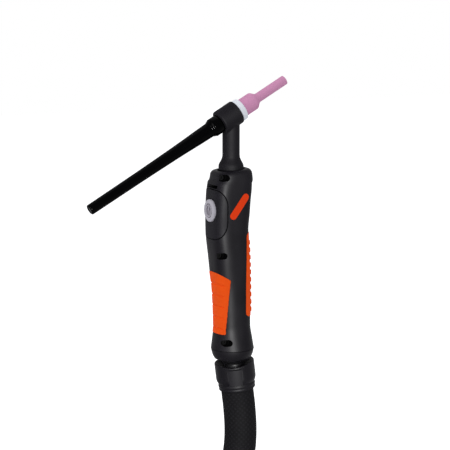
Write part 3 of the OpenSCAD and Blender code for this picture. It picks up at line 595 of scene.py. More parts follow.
def repaint(piece, paint, inside):
    # Faces that the test picks take a second, darker finish, which paints shade into hollows
    piece.data.materials.append(finishes[paint])
    for face in piece.data.polygons:
        if inside(face.center / mm, face.normal):
            face.material_index = 1


# The handle: the same sections as the solid, on a smooth curve through them. A row is the share of the
# way down, the shift along x, the depth, the width and the roundness of its section
handleShape = {
    "top": 85, "length": 151.5, "sides": 128, "step": 1.25, "cavity": (-52, 68), "wall": 3.6,
    "rows": [(0, 0.1, 27.84, 28.71, 3), (0.017, 0.1, 30.88, 31.85, 3.2), (0.035, 0.1, 31.6, 32.6, 3.3),
             (0.052, 0.1, 32, 33, 3.4), (0.06, -0.2, 32.2, 33, 3.5), (0.07, -1.1, 32.8, 33, 3.6),
             (0.085, -1.4, 32.8, 33, 3.7), (0.116, -1.9, 32.8, 33, 4), (0.166, -2.6, 32.4, 33, 4),
             (0.233, -3.2, 32, 33, 4), (0.316, -3.8, 31.52, 32.5, 3.6), (0.383, -3.5, 31.84, 32.84, 3.3),
             (0.484, -2.2, 31.46, 32.44, 3), (0.561, -1.3, 31.5, 31.2, 2.8), (0.654, -0.1, 30.5, 30.1, 2.6),
             (0.753, 0.5, 30, 29.8, 2.5), (0.872, 0.8, 29.7, 29.8, 2.4), (0.938, 1.1, 32.88, 32.77, 2.2),
             (0.974, 1.2, 34.8, 34.75, 2.1), (1, 1.3, 36.4, 36.4, 2)],
    "domeRadius": 18, "domeHeight": -65, "domeFoot": -75, "foot": -66.5, "footShift": 1.3,
    "ball": (1.9, 0, -70), "ballRadius": 12.45, "shoulderSlope": 0.08, "shoulderShare": 0.05,
    # Steps of the neck's and head collar's way in from above: radius, height
    "neckWay": [(8.55, 67), (8.55, 73.95), (10.05, 73.95), (10.05, 77.05), (8.55, 77.05), (8.55, 81.5),
                (11.7, 81.5), (11.7, 90)],
    "topEdge": [(85, 3.4), (85, 1.6), (84.85, 0.9), (84.5, 0.35), (84, 0.08)],  # height, inset
    "slot": ((-40, -9.3, 70.2), (-10, 9.3, 73)),  # finger slot above the panel
    "lipGroove": [(17.4, -66.9), (19, -67.1), (19, -66.3), (17.6, -66.5)],
}


def sectionAt(share):
    rows = handleShape["rows"]
    share = clamped(share)
    i = max(k for k in range(len(rows) - 1) if rows[k][0] <= share)
    a, b = rows[i], rows[i + 1]
    before, after = rows[max(i - 1, 0)], rows[min(i + 2, len(rows) - 1)]
    width = b[0] - a[0]
    t = (share - a[0]) / width
    values = []
    for k in range(1, 5):
        slope = (b[k] - a[k]) / width
        startSlope = (b[k] - before[k]) / (b[0] - before[0]) if i else slope
        endSlope = (after[k] - a[k]) / (after[0] - a[0]) if after is not b else slope
        limit = 3 * abs(slope)
        startSlope = clamped(startSlope, -limit, limit) * width
        endSlope = clamped(endSlope, -limit, limit) * width
        values.append(a[k] * (2 * t ** 3 - 3 * t * t + 1) + startSlope * (t ** 3 - 2 * t * t + t)
                      + b[k] * (3 * t * t - 2 * t ** 3) + endSlope * (t ** 3 - t * t))
    return values


def handlePoint(z, angle, inset):
    share = (handleShape["top"] - z) / handleShape["length"]
    shift, depth, width, power = sectionAt(share)
    c, s = math.cos(angle), math.sin(angle)
    x = shift + (depth / 2 - inset) * math.copysign(abs(c) ** (2 / power), c)
    rise = handleShape["shoulderSlope"] * x * clamped(1 - share / handleShape["shoulderShare"])
    return Vector((x, (width / 2 - inset) * math.copysign(abs(s) ** (2 / power), s), z + rise))


def handleLoft(name, inset, top, bottom, topEdge=()):
    count = round((top - bottom) / handleShape["step"])
    heights = [(top - (top - bottom) * k / count, inset) for k in range(count + 1)]
    rings = list(topEdge) + heights
    sides = handleShape["sides"]

    def place(side, ring):
        z, less = rings[ring]
        return handlePoint(z, 2 * math.pi * side / sides, less)
    return ringStack(name, sides, len(rings), place)


def frontX(z):
    return handlePoint(z, math.pi, 0).x


def rearX(z):
    return handlePoint(z, 0, 0).x


def handleBody():
    # Outer skin with a rounded shoulder above and the ball socket's dome below
    s = handleShape
    body = handleLoft("handleBody", 0, s["top"] - 1.6, s["foot"], s["topEdge"])
    bowl = arc((0, s["domeHeight"]), s["domeRadius"], -4.5, -33.7, 12)
    dome = [(15.2, s["foot"] + 4)] + bowl + [(14.6, s["domeFoot"] - 0.12), (12, s["domeFoot"] - 0.12)]
    return join(body, lathe("dome", dome, 128, frameOf=shiftedBy(s["footShift"])))


def roundedOutline(corners, radii, steps=10):
    # Corners of a polygon, each rounded by its own radius
    points = []
    for i, r in enumerate(radii):
        p, a, b = (Vector(corners[k % len(corners)]) for k in (i, i - 1, i + 1))
        if not r:
            points.append(tuple(p))
            continue
        u, v = (a - p).normalized(), (b - p).normalized()
        half = u.angle(v) / 2
        start, end = p + u * r / math.tan(half), p + v * r / math.tan(half)
        middle = p + (u + v).normalized() * r / math.sin(half)
        for k in range(steps + 1):
            w = (start - middle).slerp(end - middle, k / steps)
            points.append(tuple(middle + w.normalized() * r))
    return points


outlines = {
    "panel": {"corners": [(-60, 25.5), (-10.9, 25.5), (-10.9, 72), (-60, 72)], "radii": [0, 17, 16, 0]},
    "front": {"corners": [(-60, -52.6), (-10.6, -52.6), (-7.5, -6.3), (-24, 4.1), (-60, 4.1)],
              "radii": [0, 1.2, 1.2, 0, 0]},
    "rear": {"corners": [(7.1, -38.4), (60, -38.4), (60, 33), (7.1, 33)], "radii": [4, 0, 0, 4]},
}


def grown(corners, by):
    # Each side of the outline moved out by the same amount; the corners run anticlockwise
    out = []
    for i in range(len(corners)):
        p, a, b = (Vector(corners[k % len(corners)]) for k in (i, i - 1, i + 1))
        before, after = (p - a).normalized(), (b - p).normalized()
        n1, n2 = Vector((before.y, -before.x)), Vector((after.y, -after.x))
        m = (n1 + n2).normalized()
        out.append(tuple(p + m * by / max(0.2, m.dot(n1))))
    return out


def outlineOf(key, by):
    s = outlines[key]
    return roundedOutline(grown(s["corners"], by), [r + by if r else 0 for r in s["radii"]])


labelShape = {"ends": ((-5.9, 48), (5.4, 62.9)), "width": 6.2, "depth": 0.7, "gap": 0.1, "proud": 0.2,
              "span": (80, 30)}


def labelOutline(by):
    (x0, z0), (x1, z1) = labelShape["ends"]
    lean = math.degrees(math.atan2(z1 - z0, x1 - x0))
    r = labelShape["width"] / 2 + by
    return arc((x1, z1), r, lean - 90, lean + 90, 14) + arc((x0, z0), r, lean + 90, lean + 270, 14)


switch = {"radius": 9.4, "height": 51.3, "proud": 2, "inlay": 2.1, "hole": 9.7, "way": 10.9, "wayFrom": -12,
          "flange": 1, "flangeDepth": 2.3, "dish": 5.9,
          "ring": (4.2, 5.1), "gap": 1.3, "bar": (0.5, 0.4, 5.4)}
# Each screw's place, and the oval recess that it stands in
screws = {"places": [(-12.6, 79.4), (-14.8, 14.4), (-10, -59.5)], "lean": 9, "oval": (3.9, 2.75, 2.7),
          "wall": (4.8, 3.65, 3.6), "floor": -8.6, "seat": -4.5, "seatRadius": 2.6, "way": 1.7, "pilot": 1.45,
          "boss": 3.5}


def alongX(p):
    return Vector((p.z, p.x, p.y + switch["height"]))


def sideRod(name, x, z, radius, near, far):
    return rod(name, radius, near, far, 48, lambda p: Vector((x + p.x, p.z, z + p.y)))


def recessBar(name, x, z, size, far):
    # An oval bar that leans with the recess, from outside the left shell to y = far
    turn = Matrix.Rotation(math.radians(screws["lean"]), 2)
    halfX, halfZ, r = size
    signs = ((-1, -1), (1, -1), (1, 1), (-1, 1))
    corners = [tuple(Vector((x, z)) + turn @ Vector((a * halfX, b * halfZ))) for a, b in signs]
    return prism(name, roundedOutline(corners, [r] * 4), -beyond, far)


def inShadedRecess(p, normal):
    # Picks the faces that get painted shade: inside the finger slot, or on the upright walls and flat floors
    # of a screw's recess
    if 70.1 < p.z < 73.1 and p.x < -9.8 and abs(p.y) < 9.4:
        return abs(normal.z) > 0.9 or p.x > -12
    turn = Matrix.Rotation(math.radians(-screws["lean"]), 2)
    for x, z in screws["places"]:
        q = turn @ Vector((p.x - x, p.z - z))
        if abs(q.x) < 4 and abs(q.y) < 2.9 and p.y < -4.4:
            return abs(normal.y) < 0.004 or (normal.y < -0.99 and p.y > -8.7)
    return False


def makeShells(under):
    s = handleShape
    body = handleBody()
    for key, gap in (("panel", 0.4), ("front", 0.15), ("rear", 0.15)):
        pocket = prism(key + "Pocket", outlineOf(key, gap), -beyond, beyond)
        cut(body, cut(pocket, under, keep=True))
    low, high = s["cavity"]
    cavity = handleLoft("cavity", s["wall"], high, low)
    for x, z in screws["places"]:
        cut(cavity, sideRod("boss", x, z, screws["boss"], -beyond, beyond))
        cut(cavity, recessBar("recessWall", x, z, screws["wall"], -7.5))
    cut(body, cavity)
    cut(body, lathe("neckWay", s["neckWay"], 96))
    ballX, _, ballZ = s["ball"]
    ball = lathe("socket", arc((0, ballZ), s["ballRadius"], -89, 89, 48), 96, frameOf=shiftedBy(ballX))
    cut(body, join(ball, rod("socketWay", 9.4, -62, -50, 64, shiftedBy(ballX))))
    cut(body, rod("buttonWay", switch["way"], -beyond, switch["wayFrom"], frameOf=alongX))
    notch = rearX(-51)
    cut(body, box("notch", (notch - 1.4, -4.5, -55), (notch + 4, 4.5, -47)))
    cut(body, box("slotAbove", *s["slot"]))
    cut(body, lathe("lipGroove", s["lipGroove"], 128, True, shiftedBy(s["footShift"])))

    left = common(copyOf(body, "shellLeft"), box("leftSide", (-60, -60, -120), (60, -0.07, 120)))
    right = renamed(common(body, box("rightSide", (-60, 0.07, -120), (60, 60, 120))), "shellRight")
    label = prism("labelPocket", labelOutline(labelShape["gap"]), -beyond, 0)
    cut(left, cut(label, handleLoft("labelFloor", labelShape["depth"], *labelShape["span"])))
    for x, z in screws["places"]:
        cut(left, sideRod("screwWay", x, z, screws["way"], -6, 1))
        cut(left, sideRod("screwSeat", x, z, screws["seatRadius"], -40, screws["seat"]))
        cut(left, recessBar("screwRecess", x, z, screws["oval"], screws["floor"]))
        cut(right, sideRod("screwPilot", x, z, screws["pilot"], -1, 9))
    for shell, node in ((left, "shell_left"), (right, "shell_right")):
        finish(shell, "torch", "black_plastic", [node])
        # A second, near-black finish paints shade into the finger slot and the screw recesses
        repaint(shell, "recess_black", inShadedRecess)
    print("shells:", len(left.data.polygons), len(right.data.polygons))


def makePanelAndLabel(under):
    panel = prism("switchPanel", outlineOf("panel", -0.25), -beyond, beyond)
    common(panel, handleLoft("panelSkin", -0.12, 82, 15))
    cut(panel, under, keep=True)
    cut(panel, rod("buttonHole", switch["hole"], -beyond, 0, frameOf=alongX))
    low, high = handleShape["slot"]
    cut(panel, box("fingerSlot", low, Vector(high) + Vector((2, 0, 1))))
    soften(panel, 0.3, 2)
    finish(panel, "torch", "panel_plastic", ["switch_panel"], angle=0)

    s = labelShape
    top, bottom = s["span"]
    label = prism("labelPlate", labelOutline(0), -beyond, -2)
    common(label, handleLoft("labelSkin", -s["proud"], top, bottom))
    cut(label, handleLoft("labelUnder", s["depth"] - 0.05, top + 2, bottom - 2))
    finish(label, "torch", "label_orange", ["label_plate"], angle=40)


# Front grip with its slanting grooves, rear grip with its row of ribs
gripShape = {
    "front": {"span": (12, -62), "proud": 0.35, "count": 5, "first": -9.5, "pitch": 9.2, "lean": 14,
              "inFrom": 2.5, "half": (8, 30, 0.6), "floor": 0.35, "voxel": 0.32},
    "rear": {"span": (40, -45), "proud": 0.3, "count": 10, "first": 24, "pitch": 6.32, "half": (11, 1.7),
             "ribProud": 1.0, "voxel": 0.34},
}


def makeGrips(under):
    s = gripShape["front"]
    front = prism("frontGrip", outlineOf("front", 0), -beyond, beyond)
    common(front, handleLoft("frontSkin", -s["proud"], *s["span"]))
    cut(front, under, keep=True)
    grooveFloor = handleLoft("grooveFloor", s["floor"], *s["span"])
    lean = Matrix.Rotation(math.radians(s["lean"]), 3, "Y")
    half = Vector(s["half"])
    for i in range(s["count"]):
        pivot = Vector((frontX(0) - s["inFrom"], 0, s["first"] - s["pitch"] * i))
        groove = box("groove", pivot - half, pivot + half, lean, pivot)
        cut(front, cut(groove, grooveFloor, keep=True))
    removePiece(grooveFloor)
    soften(front, s["voxel"], 3)
    finish(front, "torch", "soft_grip", ["front_grip"], angle=0)

    s = gripShape["rear"]
    rear = prism("rearGrip", outlineOf("rear", 0), -beyond, beyond)
    outer = handleLoft("rearSkin", -s["proud"], *s["span"])
    ribSkin = handleLoft("ribSkin", -s["ribProud"], *s["span"])
    halfWidth, halfHeight = s["half"]
    for i in range(s["count"]):
        z = s["first"] - s["pitch"] * i
        rib = box("rib", (0, -halfWidth, z - halfHeight), (beyond, halfWidth, z + halfHeight))
        join(outer, common(rib, ribSkin, keep=True))
    removePiece(ribSkin)
    common(rear, outer)
    cut(rear, under, keep=True)
    soften(rear, s["voxel"], 3)
    finish(rear, "torch", "soft_grip", ["rear_grip"], angle=0)


def makeButton():
    # Push button with its dished face, and the ring and bar in it
    s = switch
    height, r, dish, (ringIn, ringOut) = s["height"], s["radius"], s["dish"], s["ring"]
    face = frontX(height) - s["proud"]
    back = frontX(height) + s["inlay"] + s["flangeDepth"]
    wide = r + s["flange"]
    steps = [(0.4, 1.5), (dish - 0.6, 1.4), (dish, 0.5), (dish + 0.4, 0.1), (r - 2.2, 0.05), (r - 1.4, 0.1),
             (r - 0.8, 0.3), (r - 0.3, 0.7), (r - 0.06, 1.2), (r, 1.7)]
    profile = [(radius, face + depth) for radius, depth in steps]
    profile += [(r, back - 1), (wide, back - 1), (wide, back), (0.4, back)]
    button = lathe("pushButton", profile, 96, frameOf=alongX)
    top, deep = face + 0.3, face + 1.7
    mark = [(ringOut, top), (ringOut + 0.15, deep), (ringIn - 0.15, deep), (ringIn, top)]
    ring = lathe("mark", mark, 64, True, alongX)
    cut(ring, box("markGap", (face - 5, -s["gap"], height + 1.5), (face + 5, s["gap"], height + 8)))
    join(button, ring)
    half, low, high = s["bar"]
    join(button, box("markBar", (face + 0.25, -half, height + low), (face + 1.8, half, height + high)))
    finish(button, "push_button", "button_grey", ["button"])

    # Faces in the dish take the darker grey: painted shade in the hollow
    def inDishShadow(p, normal):
        return face + 0.4 < p.x < face + 1.6 and math.hypot(p.y, p.z - height) < dish + 0.05
    repaint(button, "button_shade", inDishShadow)


def makeHandle():
    s = handleShape
    under = handleLoft("under", switch["inlay"], s["top"] + 1, s["foot"] - 1)  # what the inlays lie on
    makeShells(under)
    makePanelAndLabel(under)
    makeGrips(under)
    removePiece(under)
    makeButton()
    print("handle pieces are made")


makeHandle()


# Head: barrel on its neck, ring, nozzle and back cap. Heights are along the head's axis from its middle
headShape = {
    "angle": 61, "height": 129.4, "barrel": 10.3, "front": 5.9, "back": 11.8, "voxel": 0.36,
    "ways": [("coreWay", 6.35, -40, 40, 64, True), ("stubWay", 4.75, 103.4, 129.4, 64, False),
             ("tubeWay", 4.05, 60, 104.4, 48, False)],
    # The neck, the collar that sits in the handle, and the bell between them
    "neck": [(0.5, 70), (8.5, 70), (8.5, 74), (10, 74), (10, 77), (8.5, 77), (8.5, 83), (9.5, 84),
             (10.35, 84.6), (10.5, 85), (10.5, 87.5), (10.35, 88.6), (9.9, 89.8), (9.0, 91.4), (8.1, 93.2),
             (7.55, 94.6), (7.3, 96), (7.25, 98), (7.25, 126), (0.5, 126)],
}
headTurn = Matrix.Rotation(math.radians(headShape["angle"]), 3, "Y")


def alongHead(p):
    return headTurn @ p + Vector((0, 0, headShape["height"]))


def alongCap(p):
    return alongHead(Vector((p.x, -p.y, -p.z)))


def makeHead():
    s = headShape
    r, front, back = s["barrel"], s["front"], s["back"]
    barrel = [(0.5, -back)] + arc((r - 1.3, 1.3 - back), 1.3, -90, 0, 7)
    barrel += arc((r - 0.5, front - 0.5), 0.5, 0, 90, 4) + [(0.5, front)]
    cover = lathe("headCover", barrel, 96, frameOf=alongHead)
    neck = lathe("neckCover", s["neck"], 96)
    cut(neck, rod("collarRoom", 8.2, -back - beyond, -back, frameOf=alongHead))
    join(cover, neck)
    soften(cover, s["voxel"], 3)
    for name, way, low, high, sides, onHead in s["ways"]:
        cut(cover, rod(name, way, low, high, sides, alongHead if onHead else None))
    finish(cover, "torch", "black_plastic", ["head_cover"], angle=40, paint="head_plastic")


ringShape = {"bore": 5.05, "radius": 9.5, "inner": 6.5, "back": 7.05, "lip": 5.98, "front": 11.2}


def makeRing():
    s = ringShape
    r, bore, inner, lip, front = s["radius"], s["bore"], s["inner"], s["lip"], s["front"]
    ring = [(bore, s["back"]), (inner, s["back"]), (inner, lip), (r - 0.3, lip), (r, lip + 0.32),
            (r, front - 1), (r - 0.25, front - 0.45), (r - 0.9, front), (bore, front)]
    finish(lathe("insulatorRing", ring, 96, True, alongHead), "torch", "ring_white", ["insulator_ring"])


nozzleShape = {"base": 7.6, "stem": 4, "bore": 2.4, "socket": 5.05, "back": 11.2, "taper": (22.6, 28.5),
               "tip": 57.2}


def makeNozzle():
    s = nozzleShape
    base, stem, bore, socket = s["base"], s["stem"], s["bore"], s["socket"]
    back, (start, end), tip = s["back"], s["taper"], s["tip"]
    nozzle = [(socket, back), (base - 0.5, back), (base - 0.12, back + 0.15), (base, back + 0.6), (base, 17),
              (base, start - 0.4)]
    nozzle += [(base + (stem - base) * ease(k / 10), start + (end - start) * k / 10) for k in range(11)]
    nozzle += [(stem, 40), (stem, tip - 0.5), (stem - 0.15, tip - 0.15), (stem - 0.5, tip),
               (bore + 0.35, tip), (bore + 0.08, tip - 0.12), (bore, tip - 0.5), (bore, 26.2), (socket, 23.4)]
    finish(lathe("gasNozzle", nozzle, 96, True, alongHead), "gas_nozzle", "ceramic_pink", ["nozzle"])


# The cap narrows from its root to its tip: share of the length, share of the narrowing
capShape = {
    "end": 146, "root": 6.3, "tip": 4.5, "collar": 7.9, "shank": 4.05, "seat": 4.4, "start": 11.8,
    "narrowFrom": 22.6, "narrowing": [(0.05, 0.08), (0.1, 0.17), (0.2, 0.42), (0.3, 0.6), (0.45, 0.76),
                                      (0.6, 0.88), (0.8, 0.95), (0.97, 1)],
}


def makeCap():
    s = capShape
    end, root, tip, r, first = (s[key] for key in ("end", "root", "tip", "collar", "narrowFrom"))
    shank, seat, start = s["shank"], s["seat"], s["start"]
    cap = [(1.75, 5.3), (shank, 5.3), (shank, 9.8), (seat, 9.8), (seat, start), (r - 0.8, start),
           (r - 0.25, 12.02), (r, 12.6), (r, 19.6), (r - 0.12, 19.9), (r - 0.6, 20.35), (r - 0.8, 20.9),
           (r - 0.9, 21.6), (r - 1.15, 21.8), (root + 0.15, 22.05), (root, first)]
    cap += [(root + (tip - root) * narrow, first + (end - first) * share) for share, narrow in s["narrowing"]]
    cap += arc((tip - 1.2, end - 1.2), 1.2, 0, 80, 6)
    cap += [(tip - 1.6, end), (tip - 1.9, end - 0.5), (0.3, end - 0.5), (0.3, 124), (1.75, 122)]
    finish(lathe("backCap", cap, 96, True, alongCap), "cap", "cap_plastic", ["back_cap"])


makeHead()
makeRing()
makeNozzle()
makeCap()
print("head pieces are made")


# Ball joint and cuff, made upright round the ball's middle and then put in place
cuffShape = {
    "roll": -27, "tilt": 7.3, "ball": (1.9, 0, -70), "radius": 16.8, "rim": -7.4, "end": -31.5, "edge": 1.3,
    "hollow": 17.2, "arch": 40.2, "dip": 10.3, "seat": 13.9, "gap": 0.05, "voxel": 0.3,
    "ballRadius": 12.4, "ballTop": 9, "neck": 9, "bore": 7.4, "flange": (12.3, -19.6, -17.2),
    "clip": (6.5, 6.75), "clipDepth": -19, "clipThick": 1.2, "clipGap": 0.35, "clipVoxel": 0.16,
    "ridges": [(16.8, -21.4), (16.6, -23), (16.2, -24.3), (15.7, -25.2), (15.2, -25.8), (15.1, -26.3),
               (15.5, -26.8), (15.65, -27.6), (15.55, -28.6), (15.2, -29.1), (15.1, -29.6), (15.4, -30),
               (15.4, -31.1), (15.2, -31.5)],
}
cuffRoll = Matrix.Rotation(math.radians(cuffShape["roll"]), 3, "Z")
cuffTurn = Matrix.Rotation(math.radians(-cuffShape["tilt"]), 3, "Y")


def atCuff(p):
    return cuffTurn @ p + Vector(cuffShape["ball"])


def putMesh(piece, place):
    for v in piece.data.vertices:
        v.co = place(v.co / mm) * mm
    return piece


def rolled(p):
    return cuffRoll @ p


def clipBlock(name, grow, inner):
    (halfX, halfZ), depth = cuffShape["clip"], cuffShape["clipDepth"]
    low = (-halfX - grow, -cuffShape["radius"] - 1, depth - halfZ - grow)
    return putMesh(box(name, low, (halfX + grow, -inner, depth + halfZ + grow)), rolled)


def makeCuff():
    s = cuffShape
    r, top, edge, gap = s["radius"], s["rim"], s["edge"], s["gap"]
    flangeR, low, high = s["flange"]
    outer = [(0.5, top)] + arc((r - edge, top - edge), edge, 90, 0, 6) + s["ridges"] + [(0.5, s["end"])]
    cuff = lathe("cuff", outer, 128)
    cut(cuff, lathe("hollow", arc((0, 0), s["hollow"], -89, 89, 60), 128))
    lift = s["arch"] - s["dip"]
    cut(cuff, rod("arch", s["arch"], -beyond, beyond, 240, lambda p: rolled(Vector((p.x, p.z, lift + p.y)))))
    cut(cuff, clipBlock("clipSeat", s["clipGap"], r - s["clipThick"]))
    soften(cuff, s["voxel"], 2)
    for name, way, start, end in (("neckWay", s["neck"] + gap, -beyond, 20),
                                  ("flangeWay", flangeR + gap, low - gap, high + gap),
                                  ("sheathWay", s["seat"], -beyond, low - 1)):
        cut(cuff, rod(name, way, start, end))
    left = common(copyOf(cuff, "cuffLeft"), putMesh(box("leftSide", (-60, -60, -60), (-gap, 60, 60)), rolled))
    right = common(cuff, putMesh(box("rightSide", (gap, -60, -60), (60, 60, 60)), rolled))
    finish(putMesh(left, atCuff), "knuckle", "black_plastic", ["cuff_left"])
    finish(putMesh(renamed(right, "cuffRight"), atCuff), "knuckle", "black_plastic", ["cuff_right"])

    clip = clipBlock("cuffClip", -gap, r - s["clipThick"] + gap)
    common(clip, rod("clipOuter", r + 0.05, -40, 0, 192))
    soften(clip, s["clipVoxel"], 3)
    finish(putMesh(clip, atCuff), "knuckle", "panel_plastic", ["cuff_clip"], angle=0)


def makeBall():
    s = cuffShape
    r, flat, neck, bore = s["ballRadius"], s["ballTop"], s["neck"], s["bore"]
    flangeR, low, high = s["flange"]
    start, end = math.degrees(math.asin(flat / r)), -math.degrees(math.acos((neck + 0.25) / r))
    ball = [(bore, flat)] + arc((0, 0), r, start, end, 28)
    ball += [(neck + 0.05, -8.9), (neck, -9.4), (neck, high), (flangeR, high), (flangeR, low), (bore, low)]
    ball = putMesh(lathe("knuckleBall", ball, 96, True), atCuff)
    finish(ball, "knuckle", "black_plastic", ["knuckle_ball"], paint="satin_plastic")
    print("cuff and ball are made")


makeCuff()
makeBall()


# Leads inside: each is split at the ball's middle, so its lower end swings with the cuff. It is slimmer at
# its waist in the ball, with room to swing
def onCuffAxis(depth, side):
    return atCuff(Vector((0, side, -depth)))


leads = {
    "powerLead": {"node": "power_cable", "diameter": 8.6, "waist": 6.4, "side": 2.2, "upperSide": 0.8,
                  "route": [(0, 0, 44), (0, 0, 34), (0.2, 0.6, 10), (0.6, 1.8, -20)]},
    "controlLead": {"node": "control_lead", "diameter": 3.2, "waist": 3, "side": -4.2, "upperSide": -4.2,
                    "route": [(-11, 0, 44.9), (-11, 0, 38.9), (-8, -1.5, 20), (-6.4, -2, -10),
                              (-4.5, -3, -35)]},
}


def smoothPath(points, steps):
    out = []
    for i in range(len(points) - 1):
        out += [curvePoint(points, i, k / steps) for k in range(steps)]
    return out + [points[-1]]


leadSplit = {"gap": 1.2, "waistFrom": -50, "waistIn": 8, "upper": 14, "lower": (7, 14, 20.5)}


def squeeze(piece, path, share):
    # Draws the tube in towards its path, over waistIn below waistFrom
    for v in piece.data.vertices:
        near = min(path, key=lambda p: (p - v.co).length_squared)
        t = clamped((leadSplit["waistFrom"] - v.co.z / mm) / leadSplit["waistIn"])
        v.co = near + (v.co - near) * (1 - (1 - share) * t)


def makeLeads():
    x, _, z = cuffShape["ball"]
    gap = leadSplit["gap"]
    for name, s in leads.items():
        upper = [Vector(p) for p in s["route"]]
        upper += [Vector((x, s["upperSide"], z + high)) for high in (leadSplit["upper"], gap)]
        lower = [onCuffAxis(depth, s["side"]) for depth in (gap, *leadSplit["lower"])]
        for part, points, body in (("Upper", upper, "torch"), ("Lower", lower, "knuckle")):
            path = [p * mm for p in smoothPath(points, 6)]
            piece, _ = sweepTube(name + part, path, s["diameter"] / 2 * mm, 24, lambda i: Vector((0, 1, 0)))
            squeeze(piece, path, s["waist"] / s["diameter"])
            finish(piece, body, "lead_rubber", [s["node"]])


makeLeads()


# Straps round the coil: a band round the bundle's outline, with its free end lapped over the outer side
strapShape = {"turns": (0.35, 0.65), "gap": 0.8, "thick": 1.1, "width": 16, "edge": 0.4, "inset": 0.35,
              "lap": 26, "lapRings": 11, "lapSides": 0.3, "lapThick": 1.0, "lapTip": 0.5}


def strapPath(grow, wide, high):
    r = cableShape["diameter"] / 2 + grow
    points = []
    for cx, cz, start in ((wide, 0, -90), (wide, high, 0), (0, high, 90), (0, 0, 180)):
        points += arc((cx, cz), r, start, start + 90, 12)
    return points


def acrossStrap(side, half):
    # A flat section with rounded edges: eight points, three inside, three outside and the two edges
    near = half - strapShape["edge"]
    return (-near, 0, near, half, near, 0, -near, -half)[side]


def makeStraps():
    c, s = cableShape, strapShape
    pitch, half = c["pitch"], s["width"] / 2
    entryX, entryZ = c["hang"][-1][0] - c["diameter"], c["hang"][-1][1]
    middle = Vector((entryX, c["innerRadius"] + pitch * c["layerTurns"], entryZ - pitch))
    wide = pitch * (c["layerTurns"] - 2 * s["inset"])
    inner, outer = (strapPath(grow, wide, pitch) for grow in (s["gap"], s["gap"] + s["thick"]))
    edges = [((x0 + x1) / 2, (z0 + z1) / 2) for (x0, z0), (x1, z1) in zip(inner, outer)]
    straps = []
    for turn in s["turns"]:
        a = math.radians(-90 - 360 * turn)
        out, along = Vector((math.cos(a), math.sin(a), 0)), Vector((-math.sin(a), math.cos(a), 0))
        base = middle + out * (c["innerRadius"] + pitch * s["inset"])

        def place(side, ring, base=base, out=out, along=along):
            x, z = (edges if side in (3, 7) else inner if side < 3 else outer)[ring]
            return base + out * x + along * acrossStrap(side, half) + Vector((0, 0, z))
        straps.append(ringStack("strap", 8, len(inner), place, True))

        def lap(side, ring, base=base, out=out, along=along):
            share = ring / (s["lapRings"] - 1)
            tip = s["lapTip"] * max(0, share - 0.85) / 0.15
            x = wide + c["diameter"] / 2 + s["gap"] + s["thick"] + (0.05 if side < 3 else s["lapThick"] - tip)
            if side in (3, 7):
                x -= 0.45
            across = acrossStrap(side, half - s["lapSides"])
            return base + out * x + along * across + Vector((0, 0, pitch - s["lap"] * share))
        straps.append(ringStack("strapEnd", 8, s["lapRings"], lap))
    selectOnly(straps[0])
    for piece in straps[1:]:
        piece.select_set(True)
    bpy.ops.object.join()
    return finish(renamed(bpy.context.object, "coilStraps"), "cable", "strap_fabric", ["cable_ties"])


coilStraps = makeStraps()
print("straps are made")


# Plug: ribbed boot, split housing and fluted nut. Lengths are along its axis from the cable's end
plugShape = {"radius": 17, "housing": (6, 44), "core": 12, "wires": 10, "screws": (-13.6, 13.6),
             "screwAt": 18}
bootShape = {"start": -24, "ribs": 5, "firstRib": -22, "ribPitch": 3.6, "widens": 0.12, "rim": 16.4}
nutShape = {"span": (44.4, 66), "radius": 19, "bore": 15.5, "flutes": 24, "flute": 1.3, "fluteIn": 2.2}


def atPlug(p):
    # The plug's axis runs along -x from the cable's end
    return Vector((cableEndX - p.z, p.y, plugHeight + p.x))


def plugRod(name, x, depth, radius, near, far):
    return rod(name, radius, near, far, 32, lambda p: atPlug(Vector((x + p.x, -p.z, depth + p.y))))


def makeBoot():
    s = bootShape
    start, rim, end = s["start"], s["rim"], plugShape["housing"][0]
    sheath, wires = cableShape["diameter"] / 2 + 0.1, plugShape["wires"]
    outer = [(sheath, start), (sheath + 0.5, start), (sheath + 0.9, start + 0.6)]
    for k in range(s["ribs"]):
        z, r = s["firstRib"] + s["ribPitch"] * k, sheath + 0.95 + s["widens"] * k
        outer += [(r, z), (r + 0.55, z + 0.4), (r + 0.6, z + 1.8), (r, z + 2.3)]
    outer += [(sheath + 1.5, -3.6), (rim - 0.2, -2), (rim, -1), (rim, end), (wires, end), (wires, 0.05),
              (sheath, 0.05)]
    return finish(lathe("plugBoot", outer, 96, True, atPlug), "cable", "lead_rubber", ["plug_boot"])


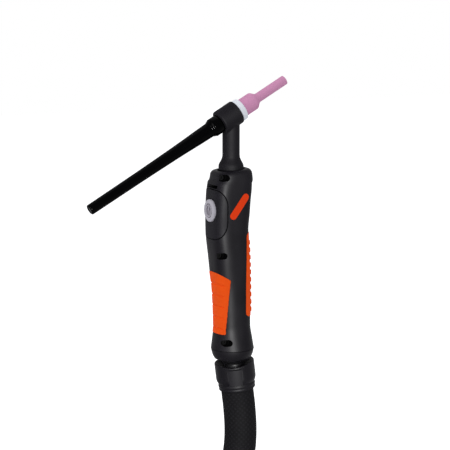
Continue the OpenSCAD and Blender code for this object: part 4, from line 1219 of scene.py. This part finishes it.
def makePlugShells():
    s = plugShape
    r, (start, end), core = s["radius"], s["housing"], s["core"] + 0.05
    profile = [(0.5, start), (r - 0.9, start), (r - 0.3, start + 0.3), (r, start + 0.9), (r, 12)]
    for k in range(6):
        z = 24 + 1.8 * k
        profile += [(r, z), (r - 0.5, z + 0.3), (r - 0.5, z + 0.9), (r, z + 1.2)]
    profile += [(r, 35.6), (r - 0.3, 36.6), (r - 1.2, 37.8), (r - 1.4, 38.4), (r - 1.4, end - 0.4),
                (r - 1.8, end), (0.5, end)]
    housing = lathe("plugHousing", profile, 128, frameOf=atPlug)
    cut(housing, rod("wireRoom", s["wires"], start - 1, 39, 64, atPlug))
    cut(housing, rod("coreWay", core, 30, 70, 64, atPlug))
    # Grip flats on the two flanks
    for side in (-1, 1):
        flat = box("gripFlat", (-7, 15.4, 13), (7, 20, 21.5))
        cut(housing, putMesh(flat, lambda p, side=side: atPlug(Vector((p.x, side * p.y, p.z)))))
    left = common(copyOf(housing, "plugShellLeft"), box("leftSide", (-500, -60, -400), (0, -0.06, 0)))
    right = common(housing, box("rightSide", (-500, 0.06, -400), (0, 60, 0)))
    shells = []
    for shell, node in ((left, "plug_shell_left"), (renamed(right, "plugShellRight"), "plug_shell_right")):
        for x in s["screws"]:
            cut(shell, plugRod("screwWay", x, s["screwAt"], 1.05, -beyond, 5))
            cut(shell, plugRod("screwSeat", x, s["screwAt"], 2.3, -beyond, -3.4))
        shells.append(finish(shell, "cable", "black_plastic", [node]))
    return shells


def makeNut():
    s = nutShape
    (near, far), r, bore, core = s["span"], s["radius"], s["bore"], plugShape["core"] + 0.08
    outer = [(core, near), (r - 1.2, near), (r - 0.3, near + 0.5), (r, near + 1.2), (r, far - 1.4),
             (r - 0.4, far - 0.5), (r - 1.3, far), (bore + 0.5, far), (bore, far - 0.5), (bore, near + 3),
             (core, near + 3)]
    nut = lathe("plugNut", outer, 192, True, atPlug)
    # Flutes with tapered ends
    low, high, wide = near + s["fluteIn"], far - s["fluteIn"], s["flute"]
    profile = [(0.4, low), (wide, low + 1), (wide, high - 1), (0.4, high)]
    for k in range(s["flutes"]):
        a = 2 * math.pi * k / s["flutes"]
        center = Vector(((r + 0.5) * math.cos(a), (r + 0.5) * math.sin(a), 0))
        cut(nut, lathe("flute", profile, 16, frameOf=lambda p, center=center: atPlug(p + center)))
    return finish(nut, "coupling_nut", "dark_metal", ["plug_nut"])


plugPieces = [makeBoot(), *makePlugShells(), makeNut()]
print("plug is made")
print("cable:", round(cableLength, 3), "m")

# The glossOnly lamps leave the pale pieces out
for member in pale.collection_objects:
    member.light_linking.link_state = "EXCLUDE"
